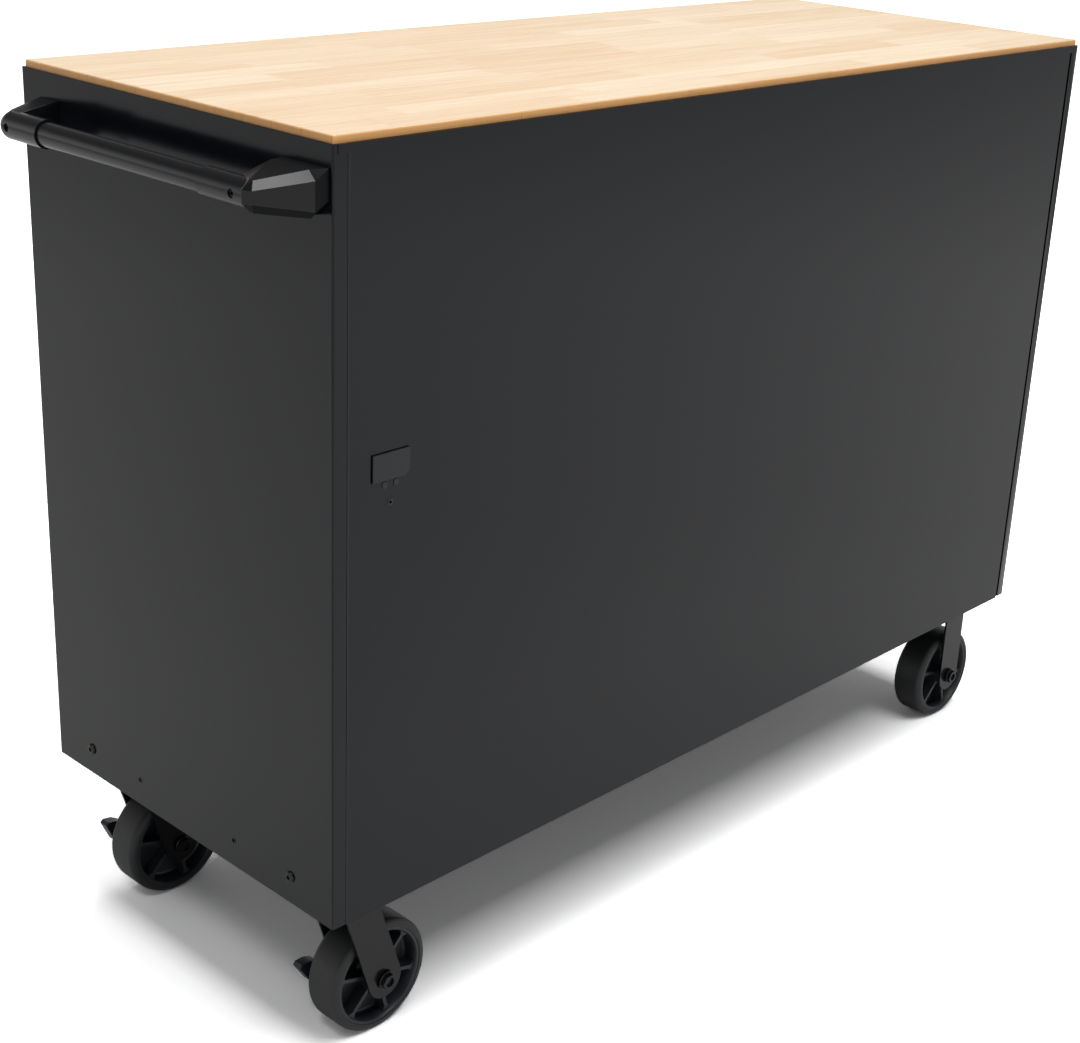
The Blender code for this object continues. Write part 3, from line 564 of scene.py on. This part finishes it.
patterns = []
for size, jumps, detail, distortion in (
        (grain_size, True, 4.0, 0.6), (drift_size, True, 3.0, 0.0), (pore_size, False, 1.0, 0.0)):
    at = add(tree, "ShaderNodeVectorMath", {0: place, 1: [1 / side for side in size]}, operation="MULTIPLY")
    if jumps:
        at = add(tree, "ShaderNodeVectorMath", {0: at, 1: jump}, operation="ADD")
    patterns.append(add(tree, "ShaderNodeTexNoise", {
        "Vector": at, "Scale": 1.0, "Detail": detail, "Distortion": distortion}))
grain, drift, pores = patterns
streak = add(tree, "ShaderNodeMapRange", {
    "Value": grain, "From Min": 0.35, "From Max": 0.75, "To Max": streak_warmth})
drift = add(tree, "ShaderNodeMapRange", {
    "Value": drift, "From Min": 0.4, "From Max": 0.7, "To Max": drift_warmth})
pore = add(tree, "ShaderNodeMapRange", {"Value": pores, "From Min": 0.62, "From Max": 0.72})
warmth = add(tree, "ShaderNodeMath", {0: luck["Value"], 1: block_warmth}, operation="MULTIPLY")
for more in (streak, drift):
    warmth = add(tree, "ShaderNodeMath", {0: warmth, 1: more}, operation="ADD")

top_tone = add(tree, "ShaderNodeMix", {
    "Factor": warmth, 6: linear(wood_pale), 7: linear(wood_warm)}, data_type="RGBA")
edge_tone = add(tree, "ShaderNodeMix", {
    "Factor": warmth, 6: linear(wood_edge, edge_gains[0]), 7: linear(wood_edge, edge_gains[1])},
    data_type="RGBA")
facing = add(tree, "ShaderNodeSeparateXYZ", {"Vector": add(tree, "ShaderNodeTexCoord").outputs["Normal"]})
upright = add(tree, "ShaderNodeMapRange", {"Value": facing.outputs["Z"], "From Min": 0.4, "From Max": 0.9})
tone = add(tree, "ShaderNodeMix", {
    "Factor": upright, 6: edge_tone.outputs[2], 7: top_tone.outputs[2]}, data_type="RGBA")
lines = []
for across, pitch in ((row, stave_wide), (along, block_long)):
    across = add(tree, "ShaderNodeMath", {0: across}, operation="FRACT")
    lines.append(add(tree, "ShaderNodeMath", {0: across, 1: glue_wide / pitch}, operation="LESS_THAN"))
glue = add(tree, "ShaderNodeMath", {0: lines[0], 1: lines[1]}, operation="MAXIMUM")
shades = [add(tree, "ShaderNodeMath", {0: mark, 1: shade}, operation="MULTIPLY")
          for mark, shade in ((glue, glue_shade), (pore, pore_shade))]
vein = add(tree, "ShaderNodeMath", {0: shades[0], 1: shades[1]}, operation="MAXIMUM")
tone = add(tree, "ShaderNodeMix", {
    "Factor": vein, 6: tone.outputs[2], 7: linear(wood_vein)}, data_type="RGBA")
gloss = add(tree, "ShaderNodeMapRange", {
    "Value": grain, "To Min": wood_roughness - 0.06, "To Max": wood_roughness + 0.08})
relief = add(tree, "ShaderNodeBump", {"Height": grain, "Strength": 0.06, "Distance": 0.0003})
feed(tree, shader, {"Base Color": tone.outputs[2], "Roughness": gloss, "Normal": relief})
coat(parts["worktop"].data, wood)


# Push bar: a steel tube, 24 mm across, held in the round sockets of two die-cast brackets.
# All three have a satin black coat, and a grub screw in each socket clamps the tube.
tube_wall = 0.0015
bar_play = 0.0003
bar_sides = 96
casting_edge = 0.0008
arm_corners_out = 0.0155
arm_inner = 0.1680
elbow_out = 0.1805
elbow_turn = math.radians(42)
elbow_steps = 8
elbow_sides = 48
grub_screw_out = 0.1745
grub_screw_radius = 0.0037
grub_screw_height = 0.0012
grub_screw_socket = 0.0021
grub_screw_rim = 0.0008
grub_screw_sunk = 0.0030
grub_hole_deep = 0.0050
grub_hole_sides = 32
overrun = 0.0020
down_facing = -0.5
up_facing = 0.85
turned_sharp_degrees = 32
satin_black = "#0F1012"
satin_roughness = 0.20
satin_ior = 1.43
satin_peel = 0.0010
painted_shade_roughness = 0.45
painted_shade_ior = 1.20


def turned(name, profile, sides, centre):
    """A closed profile of (radius, across) points turned about a line along Y."""
    bm = bmesh.new()
    rings = []
    for step in range(sides):
        angle = math.tau * step / sides
        rings.append([bm.verts.new((centre.x + radius * math.cos(angle), centre.y + across,
                                    centre.z + radius * math.sin(angle))) for radius, across in profile])
    for ring, after in zip(rings, rings[1:] + rings[:1]):
        for index in range(len(profile)):
            following = (index + 1) % len(profile)
            bm.faces.new((ring[index], after[index], after[following], ring[following]))
    return creased(mesh_of(bm, name), turned_sharp_degrees)


def rod(name, radius, start, end, sides):
    """A plain rod between two points, to join or to cut with."""
    bm = bmesh.new()
    place = (Matrix.Translation((start + end) / 2)
             @ (end - start).to_track_quat("Z", "Y").to_matrix().to_4x4())
    bmesh.ops.create_cone(bm, cap_ends=True, segments=sides, radius1=radius, radius2=radius,
                          depth=(end - start).length, matrix=place)
    return mesh_of(bm, name)


def round_elbow(node, way):
    """The bracket's own arm corners, and round sections that swing from the bar towards the case."""
    low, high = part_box(node)
    reach = high.x - bar_middle.x
    corners = [vert.co.copy() for vert in blank(node).vertices if vert.co.x < case_high.x + arm_corners_out]
    swing = [(elbow_out, elbow_turn * step / elbow_steps) for step in range(elbow_steps + 1)]
    for along, angle in [(arm_inner, 0.0)] + swing:
        for step in range(elbow_sides):
            turn = math.tau * step / elbow_sides
            out = reach * math.cos(turn)
            if along == arm_inner or out >= 0:
                across = bar_middle.y + way * (along + out * math.sin(angle))
                corners.append(Vector((bar_middle.x + out * math.cos(angle), across,
                                       bar_middle.z + reach * math.sin(turn))))
    bm = bmesh.new()
    for corner in corners:
        bm.verts.new(corner)
    bmesh.ops.convex_hull(bm, input=bm.verts)
    bmesh.ops.delete(bm, geom=[vert for vert in bm.verts if not vert.link_faces], context="VERTS")
    bmesh.ops.dissolve_limit(bm, angle_limit=math.radians(1), verts=bm.verts, edges=bm.edges)
    arm = mesh_of(bm, node)
    mouth = min(abs(low.y - bar_middle.y), abs(high.y - bar_middle.y))
    at_mouth, at_elbow, at_bore, at_bar_end, at_screw = (
        Vector((bar_middle.x, bar_middle.y + way * out, bar_middle.z))
        for out in (mouth, elbow_out, mouth - overrun, bar_half + bar_play, grub_screw_out))
    socket = rod("socket", reach, at_mouth, at_elbow, bar_sides)
    bore = rod("bore", bar_radius + bar_play, at_bore, at_bar_end, bar_sides)
    hole = rod("hole", grub_screw_radius + bar_play, at_screw + Vector((reach - grub_hole_deep, 0, 0)),
               at_screw + Vector((reach + overrun, 0, 0)), grub_hole_sides)
    made = cut_and_joined(node, arm, [("UNION", socket), ("DIFFERENCE", bore), ("DIFFERENCE", hole)])
    return eased(node, made, casting_edge, steps=3, sharp=24)


# Powder on a smooth casting and tube: lights run down them in long, clean, dark bands.
fitting_coat = powder_coat("powder_coated_die_casting", satin_black, satin_roughness, satin_peel, satin_ior)
# Painted shade: a duller copy of the fitting coat that mirrors next to nothing, so the arm's faces that take it
# read dark.
painted_shade_coat = powder_coat("powder_coat_painted_shade", satin_black, painted_shade_roughness, satin_peel, painted_shade_ior)
low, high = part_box("push_bar")
bar_middle = (low + high) / 2
bar_radius = (high.z - low.z) / 2
bar_half = (high.y - low.y) / 2
profile = [(bar_radius, -bar_half), (bar_radius, bar_half),
           (bar_radius - tube_wall, bar_half), (bar_radius - tube_wall, -bar_half)]
fit("push_bar_tube", turned("push_bar", profile, bar_sides, bar_middle), fitting_coat,
    "cabinet", "fitting_paint", "push_bar")

for end, way in (("rear", 1), ("front", -1)):
    node = f"bar_bracket_{end}"
    if end == "rear":
        shape = eased(node, blank(node), casting_edge, steps=3, sharp=14)
    else:
        shape = round_elbow(node, way)
    fit(f"{node}_casting", shape, fitting_coat, "cabinet", "fitting_paint", node)
    shape.materials.append(painted_shade_coat)
    # Painted shade: the arm's faces by the case wall, and those facing steeply up or down, take the duller
    # coat.
    for face in shape.polygons:
        on_arm = way * (face.center.y - bar_middle.y) > elbow_out + bar_play
        by_wall = face.center.x < case_high.x + arm_corners_out
        tilted = face.normal.z < down_facing or face.normal.z > up_facing
        face.material_index = int(on_arm and (by_wall or tilted))
grub = socket_screw("grub_screw", grub_screw_radius, grub_screw_height, grub_screw_socket, grub_screw_rim)
socket_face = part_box("bar_bracket_rear")[1].x
places = [(socket_face - grub_screw_sunk, bar_middle.y + out, bar_middle.z)
          for out in (-grub_screw_out, grub_screw_out)]
fit("bar_grub_screws", set_pieces("bar_grub_screws", grub, places, (1, 0, 0), screw_black), screw_black,
    "cabinet", "fitting_paint")


# Drawers: trays folded from 1 mm sheet behind hollow pressed fronts, each with a pull that is
# folded over the whole width. Their coats are the case's and the bar's.
front_edge = 0.0009

for node in sorted(parts):
    body = node.rsplit("_", 1)[0]
    if "drawer" in node and node.endswith("_front"):
        fit_eased(node, "pressed", fitting_coat, body, "fitting_paint", radius=front_edge, steps=3, sharp=40)
    elif "drawer" in node:
        coat(parts[node].data, case_coat)


# Drawer slides: members and posts roll-formed from zinc-plated strip, welded together.
# The plating is bluish, with soft spangles a few millimetres across.
zinc_light = "#B4B7BA"
zinc_dark = "#8F9396"
zinc_roughness = 0.36
spangle_wide = 1 / 260
rolled_lines_per_metre = (30, 4, 900)

zinc, tree, shader, place = start_finish("zinc_plated_strip", zinc_light, zinc_roughness, metallic=1.0)
spangle = add(tree, "ShaderNodeTexVoronoi", {"Vector": place, "Scale": 1 / spangle_wide})
drawn = add(tree, "ShaderNodeVectorMath", {0: place, 1: rolled_lines_per_metre}, operation="MULTIPLY")
rolled = add(tree, "ShaderNodeTexNoise", {"Vector": drawn, "Scale": 1.0, "Detail": 2.0})
both = add(tree, "ShaderNodeMath", {0: spangle.outputs["Distance"], 1: rolled}, operation="MULTIPLY")
tone = add(tree, "ShaderNodeMix", {
    "Factor": both, 6: linear(zinc_light), 7: linear(zinc_dark)}, data_type="RGBA")
gloss = add(tree, "ShaderNodeMapRange", {
    "Value": rolled, "To Min": zinc_roughness - 0.08, "To Max": zinc_roughness + 0.10})
feed(tree, shader, {"Base Color": tone.outputs[2], "Roughness": gloss})
for node in sorted(parts):
    if node.startswith("slides_"):
        coat(parts[node].data, zinc)


# Lock: a chromed die-cast plug in the top rail, with a slot for a flat key and a cam behind.
# Polishing leaves fine turned lines round its face.
chrome_light = "#DADCDE"
chrome_roughness = 0.10
turned_line = 1 / 500
lock_edge = 0.0003

chrome, tree, shader, place = start_finish("chromed_die_casting", chrome_light, chrome_roughness, metallic=1.0)
lock_low, lock_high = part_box("lock_plug")
rail_low, rail_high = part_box("top_front_rail")
lock_middle = Vector(((lock_low.x + lock_high.x) / 2, 0, (rail_low.z + rail_high.z) / 2))
centred = add(tree, "ShaderNodeMapping", {"Vector": place, "Location": -lock_middle})
round_face = add(tree, "ShaderNodeTexWave", {"Vector": centred, "Scale": 1 / turned_line},
                 wave_type="RINGS", rings_direction="Y")
gloss = add(tree, "ShaderNodeMapRange", {
    "Value": round_face.outputs["Fac"], "To Min": 0.07, "To Max": 0.16})
feed(tree, shader, {"Roughness": gloss})
fit_eased("lock_plug", "turned", chrome, "lock", "lock_chrome", radius=lock_edge, steps=3, sharp=30)


# Casters: pressed forks, black like the fittings, with 127 mm wheels. A black rubber tread is
# moulded on a spoked nylon hub, which turns on a black bolt through the fork's legs.
tread_thick = 0.0090
shoulder = 0.0085
shoulder_deep = 0.0070
shoulder_steps = 12
side_tuck = 0.0003
tyre_sides = 144
hub_sides = 120
hub_bore = 0.0065
hub_edge = 0.0006
rim_wall = 0.0040
rim_half = 0.0213
rim_draft = 0.0004
rim_edge = 0.0012
web_half = 0.0026
boss_radius = 0.0150
boss_edge = 0.0010
boss_draft = 0.0012
boss_flare = 0.0040
flare_steps = 4
rib_count = 6
rib_start = 45
rib_thick = 0.0044
rib_fillet = 0.0040
rib_sunk = 0.0035
rib_root = 0.0020
rib_edge = 0.0005
rib_arc = (15, 35, 60, 90)
boss_fillet_share = 0.7
root_fillet_share = 0.9
bolt_across = 0.0090
bolt_height = 0.0056
bolt_washer = 0.0104
bolt_dish = 0.0052
washer_height = 0.0012
washer_edge = 0.0006
washer_side_share = 0.7
bolt_corner_low = 0.0014
bolt_corner_high = 0.0004
bolt_corner_share = 0.985
bolt_top_share = 0.90
dish_deep = 0.0026
bolt_sides = 48
bolt_sharp_degrees = 28
axle_radius = 0.0060
axle_centre = 0.0002
axle_sides = 32
fork_edge = 0.0006
lever_edge = 0.0009
tread_black = "#1A1B1D"
tread_roughness = 0.50
tread_dust = 1 / 60
tread_grain = 1 / 900
nylon_black = "#1E2127"
nylon_roughness = 0.40
nylon_ior = 1.53
nylon_flow = 1 / 25
nylon_spark = 1 / 1400

# Moulded rubber: matt, and a shade greyer in patches, where dust clings to its fine grain.
rubber, tree, shader, place = start_finish("moulded_tread_rubber", tread_black, tread_roughness)
dust = add(tree, "ShaderNodeTexNoise", {"Vector": place, "Scale": 1 / tread_dust, "Detail": 5.0})
skin = add(tree, "ShaderNodeTexNoise", {"Vector": place, "Scale": 1 / tread_grain, "Detail": 2.0})
tone = add(tree, "ShaderNodeMix", {
    "Factor": dust, 6: linear(tread_black), 7: linear(tread_black, 1.7)}, data_type="RGBA")
gloss = add(tree, "ShaderNodeMapRange", {"Value": dust, "To Min": 0.42, "To Max": 0.60})
relief = add(tree, "ShaderNodeBump", {"Height": skin, "Strength": 0.15, "Distance": 0.0002})
feed(tree, shader, {"Base Color": tone.outputs[2], "Roughness": gloss, "Normal": relief})

# Moulded nylon: satin, with slow flow marks in its gloss and the spark texture of its mould.
nylon, tree, shader, place = start_finish("moulded_nylon", nylon_black, nylon_roughness, ior=nylon_ior)
spark = add(tree, "ShaderNodeTexVoronoi", {"Vector": place, "Scale": 1 / nylon_spark})
flow = add(tree, "ShaderNodeTexNoise", {"Vector": place, "Scale": 1 / nylon_flow, "Detail": 2.0})
tone = add(tree, "ShaderNodeMix", {
    "Factor": flow, 6: linear(nylon_black), 7: linear(nylon_black, 1.4)}, data_type="RGBA")
gloss = add(tree, "ShaderNodeMapRange", {"Value": flow, "To Min": 0.34, "To Max": 0.48})
relief = add(tree, "ShaderNodeBump", {"Height": spark, "Strength": 0.10, "Distance": 0.0001})
feed(tree, shader, {"Base Color": tone.outputs[2], "Roughness": gloss, "Normal": relief})


def arc(centre, radius, first, last, steps):
    """Points on an arc in a profile, angles in degrees from the radius towards +across."""
    angles = [math.radians(first + (last - first) * step / steps) for step in range(steps + 1)]
    return [(centre[0] + radius * math.cos(angle), centre[1] + radius * math.sin(angle)) for angle in angles]


def wheel_tyre(name, centre, outer, half):
    """A flat tread with wide round shoulders, tucked in where it meets the rim."""
    side = [(outer - tread_thick, -half + side_tuck)]
    for step in range(shoulder_steps + 1):
        turn = math.pi / 2 * step / shoulder_steps
        side.append((outer - shoulder + shoulder * math.sin(turn),
                     -half + shoulder_deep * (1 - math.cos(turn))))
    side += [(radius, -across) for radius, across in reversed(side)]
    return turned(name, side, tyre_sides, centre)


def ribs_tree():
    """Geometry Nodes: one rib's outline, given its width, set round the axle at even angles."""
    tree, given = named_tree("ribs_round_axle", {
        "Outline": "Geometry", "Count": "Int", "Start": "Float", "Width": "Float", "Axle": "Vector",
        "Finish": "Material"}, "Ribs")
    reach = add(tree, "ShaderNodeCombineXYZ", {"Y": given["Width"]})
    rib = add(tree, "GeometryNodeExtrudeMesh", {
        "Mesh": given["Outline"], "Offset": reach, "Offset Scale": 1.0, "Individual": False})
    back = add(tree, "GeometryNodeFlipFaces", {"Mesh": given["Outline"]})
    closed = add(tree, "GeometryNodeJoinGeometry")
    for side in (rib, back):
        tree.links.new(side.outputs["Mesh"], closed.inputs[0])
    welded = add(tree, "GeometryNodeMergeByDistance", {"Geometry": closed, "Distance": 1e-5})
    number = add(tree, "GeometryNodeInputIndex")
    apart = add(tree, "ShaderNodeMath", {0: math.tau, 1: given["Count"]}, operation="DIVIDE")
    turn = add(tree, "ShaderNodeMath", {0: number, 1: apart, 2: given["Start"]}, operation="MULTIPLY_ADD")
    about = add(tree, "ShaderNodeCombineXYZ", {"Y": turn})
    points = add(tree, "GeometryNodePoints", {"Count": given["Count"], "Position": given["Axle"]})
    end_in_copies(tree, "Ribs", points, welded, about, given["Finish"])
    return tree


def flare(along, way, half, fillet):
    """Points where a rib's side curves out into the wall that it meets, from the wall inwards."""
    return [(along + way * fillet * math.sin(math.radians(a)),
             half + fillet * (1 - math.cos(math.radians(90 - a)))) for a in rib_arc]


def rib_outline(name, rim_inner):
    """A rib in the wheel's plane, flared into the boss and the rim. It lies at one side of the wheel."""
    half = rib_thick / 2
    boss_fillet = rib_fillet * boss_fillet_share
    upper = [(boss_radius - rib_root, half + boss_fillet)] + flare(boss_radius, 1, half, boss_fillet)
    upper += flare(rim_inner, -1, half, rib_fillet)[::-1]
    upper.append((rim_inner + rib_root, half + rib_fillet * root_fillet_share))
    outline = upper + [(along, -up) for along, up in reversed(upper)]
    bm = bmesh.new()
    face = bm.faces.new([bm.verts.new((along, rib_sunk - rim_half, up)) for along, up in outline])
    bm.normal_update()
    if face.normal.y < 0:
        bmesh.ops.reverse_faces(bm, faces=bm.faces)
    return mesh_of(bm, name, outwards=False)


def in_one(name, meshes, sharp):
    """Closed meshes of one piece, side by side in one mesh."""
    bm = bmesh.new()
    for mesh in meshes:
        bm.from_mesh(mesh)
    return creased(mesh_of(bm, name, outwards=False), sharp)


def wheel_hub(name, centre, rim_outer, boss_half):
    """Rim, web and boss turned in one, with ribs on both sides of the web."""
    rim_inner = rim_outer - rim_wall
    boss_foot = boss_radius + boss_draft
    flare_top = web_half + boss_flare
    half = [(hub_bore, boss_half - hub_edge), (hub_bore + hub_edge, boss_half),
            (boss_radius - boss_edge, boss_half), (boss_radius, boss_half - boss_edge), (boss_foot, flare_top)]
    half += arc((boss_foot + boss_flare, flare_top), boss_flare, 180, 270, flare_steps)
    half += arc((rim_inner - boss_flare, flare_top), boss_flare, -90, 0, flare_steps)
    half += [(rim_inner + rim_draft, rim_half - rim_edge), (rim_inner + rim_draft + rim_edge, rim_half),
             (rim_outer, rim_half)]
    half += [(radius, -across) for radius, across in reversed(half)]
    ribs = grown(name + "_ribs", rib_outline(name + "_rib", rim_inner), rib_tree, {
        "Count": rib_count, "Start": math.radians(rib_start), "Width": 2 * (rim_half - rib_sunk),
        "Axle": tuple(centre), "Finish": nylon})
    ribs = eased(name + "_ribs", ribs, rib_edge, steps=2, sharp=40)
    return in_one(name, (turned(name, half, hub_sides, centre), ribs), turned_sharp_degrees)


def hex_bolt(name):
    """A hexagon head on its washer face, chamfered at the corners and dished at the top."""
    rows = [(bolt_washer, math.inf, 0), (bolt_washer, math.inf, washer_height * washer_side_share),
            (bolt_washer - washer_edge, math.inf, washer_height), (math.inf, bolt_across, washer_height),
            (math.inf, bolt_across, bolt_height - bolt_corner_low),
            (bolt_across * bolt_corner_share, bolt_across, bolt_height - bolt_corner_high),
            (bolt_across * bolt_top_share, bolt_across, bolt_height), (bolt_dish, bolt_across, bolt_height),
            (bolt_dish * bolt_top_share, bolt_across, bolt_height - dish_deep)]
    return stacked(name, rows, bolt_sides, bolt_sharp_degrees)


rib_tree = ribs_tree()
axle_head = hex_bolt("axle_head")
for caster in ("swivel_caster_rear", "swivel_caster_front", "rigid_caster_rear", "rigid_caster_front"):
    swivel = caster.startswith("swivel")
    carrier = f"{caster}_fork" if swivel else "cabinet"
    wheel = f"{caster}_wheel"
    fit_eased(f"{caster}_fork", "pressed", fitting_coat, carrier, "fitting_paint",
              radius=fork_edge, steps=2, sharp=30)
    low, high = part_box(f"{wheel}_tyre")
    centre = (low + high) / 2
    tread = wheel_tyre(f"{wheel}_tread", centre, (high.z - low.z) / 2, (high.y - low.y) / 2)
    fit(f"{wheel}_tread", tread, rubber, wheel, "tread_rubber", f"{wheel}_tyre")
    low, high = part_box(f"{wheel}_hub")
    hub = wheel_hub(f"{wheel}_spoked_hub", centre, (high.z - low.z) / 2, (high.y - low.y) / 2)
    fit(f"{wheel}_spoked_hub", hub, nylon, wheel, "hub_plastic", f"{wheel}_hub")
    low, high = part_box(f"{caster}_axle")
    seats = (low.y + bolt_height, high.y - bolt_height)
    shaft = [(axle_centre, seats[0]), (axle_radius, seats[0]), (axle_radius, seats[1]), (axle_centre, seats[1])]
    bolt = [turned(f"{caster}_axle", shaft, axle_sides, Vector((centre.x, 0, centre.z)))]
    for y, way in ((seats[1], 1), (seats[0], -1)):
        head = axle_head.copy()
        head.transform(Matrix.Translation((centre.x, y, centre.z))
                       @ Matrix.Rotation(-way * math.pi / 2, 4, "X"))
        bolt.append(head)
    bolt = in_one(f"{caster}_axle_bolt", bolt, bolt_sharp_degrees)
    fit(f"{caster}_axle_bolt", bolt, fitting_coat, carrier, "fitting_paint", f"{caster}_axle")
    if swivel:
        fit_eased(f"{caster}_base", "pressed", fitting_coat, "cabinet", "fitting_paint",
                  radius=fork_edge, steps=2, sharp=40)
        fit_eased(f"{caster}_pedal_lever", "moulded", nylon, f"{caster}_pedal", "hub_plastic",
                  radius=lever_edge, steps=3, sharp=30)


# Floor and light: a white paper sweep under a large overhead softbox, in a white studio. The
# camera sees the paper overexposed, as in a studio picture; the light on the cart stays plain.
floor_half = 30.0
paper_white = "#F4F4F4"
paper_roughness = 0.85
seen_gain = 2.6
paper_glow = 0.26
fade_from = 1.4
fade_to = 3.2
studio_fill = 0.19
ceiling_mirrored = 0.15
ceiling_from = 0.15
ceiling_to = 0.45
lamp_places = (("overhead_softbox", (-0.10, 1.00, 5.20), (3.40, 5.80), (0.0, 0.0), 262.0),
               ("corner_softbox", (2.23, 0.97, 3.35), (0.70, 0.70), (35.0, 65.0), 12.5))

bm = bmesh.new()
bmesh.ops.create_grid(bm, x_segments=1, y_segments=1, size=floor_half)
floor = placed("studio_floor", mesh_of(bm, "studio_floor", outwards=False))


def seen_directly(tree):
    """1 for the rays that show the background: camera, mirror and glass rays."""
    sight = add(tree, "ShaderNodeLightPath").outputs
    either = add(tree, "ShaderNodeMath", {
        0: sight["Is Camera Ray"], 1: sight["Is Glossy Ray"]}, operation="MAXIMUM")
    return add(tree, "ShaderNodeMath", {0: either, 1: sight["Is Transmission Ray"]}, operation="MAXIMUM")


# Matt paper: it has no gloss. It fades to plain white far from the cart, with no horizon.
paper, tree, shader, place = start_finish("white_paper_sweep", paper_white, paper_roughness)
far = add(tree, "ShaderNodeVectorMath", {0: place}, operation="LENGTH").outputs["Value"]
fade = add(tree, "ShaderNodeMapRange", {"Value": far, "From Min": fade_from, "From Max": fade_to})
sight = add(tree, "ShaderNodeLightPath").outputs["Is Camera Ray"]
seen = add(tree, "ShaderNodeMix", {
    "Factor": sight, 6: linear(paper_white), 7: linear(paper_white, seen_gain)}, data_type="RGBA")
mirrored = add(tree, "ShaderNodeMath", {0: seen_directly(tree), 1: sight}, operation="SUBTRACT")
mirrored = add(tree, "ShaderNodeMath", {0: mirrored, 1: paper_glow}, operation="MULTIPLY")
glow = add(tree, "ShaderNodeMath", {0: mirrored, 1: sight}, operation="ADD")
glow = add(tree, "ShaderNodeMath", {0: glow, 1: fade}, operation="MULTIPLY")
feed(tree, shader, {"Base Color": seen.outputs[2], "Specular IOR Level": 0.0,
                    "Emission Color": (1, 1, 1, 1), "Emission Strength": glow})
coat(floor.data, paper)

world = bpy.data.worlds.new("white_studio")
world.use_nodes = True
bpy.context.scene.world = world
tree = world.node_tree
heading = add(tree, "ShaderNodeSeparateXYZ", {"Vector": add(tree, "ShaderNodeTexCoord").outputs["Object"]})
ceiling = add(tree, "ShaderNodeMapRange", {
    "Value": heading.outputs["Z"], "From Min": ceiling_from, "From Max": ceiling_to,
    "To Min": 1.0, "To Max": ceiling_mirrored})
camera_sees = add(tree, "ShaderNodeLightPath").outputs["Is Camera Ray"]
seen_white = add(tree, "ShaderNodeMath", {0: ceiling, 1: camera_sees}, operation="MAXIMUM")
strength = add(tree, "ShaderNodeMapRange", {
    "Value": seen_directly(tree), "To Min": studio_fill, "To Max": seen_white})
feed(tree, tree.nodes["Background"], {"Color": (1, 1, 1, 1), "Strength": strength})

for name, where, size, tilt, power in lamp_places:
    lamp = bpy.data.lights.new(name, "AREA")
    lamp.shape = "RECTANGLE"
    lamp.size, lamp.size_y = size
    lamp.energy = power
    stand = placed(name, lamp)
    stand.location = where
    stand.rotation_euler = (0, math.radians(tilt[0]), math.radians(tilt[1]))
bpy.context.scene.view_settings.view_transform = "Standard"
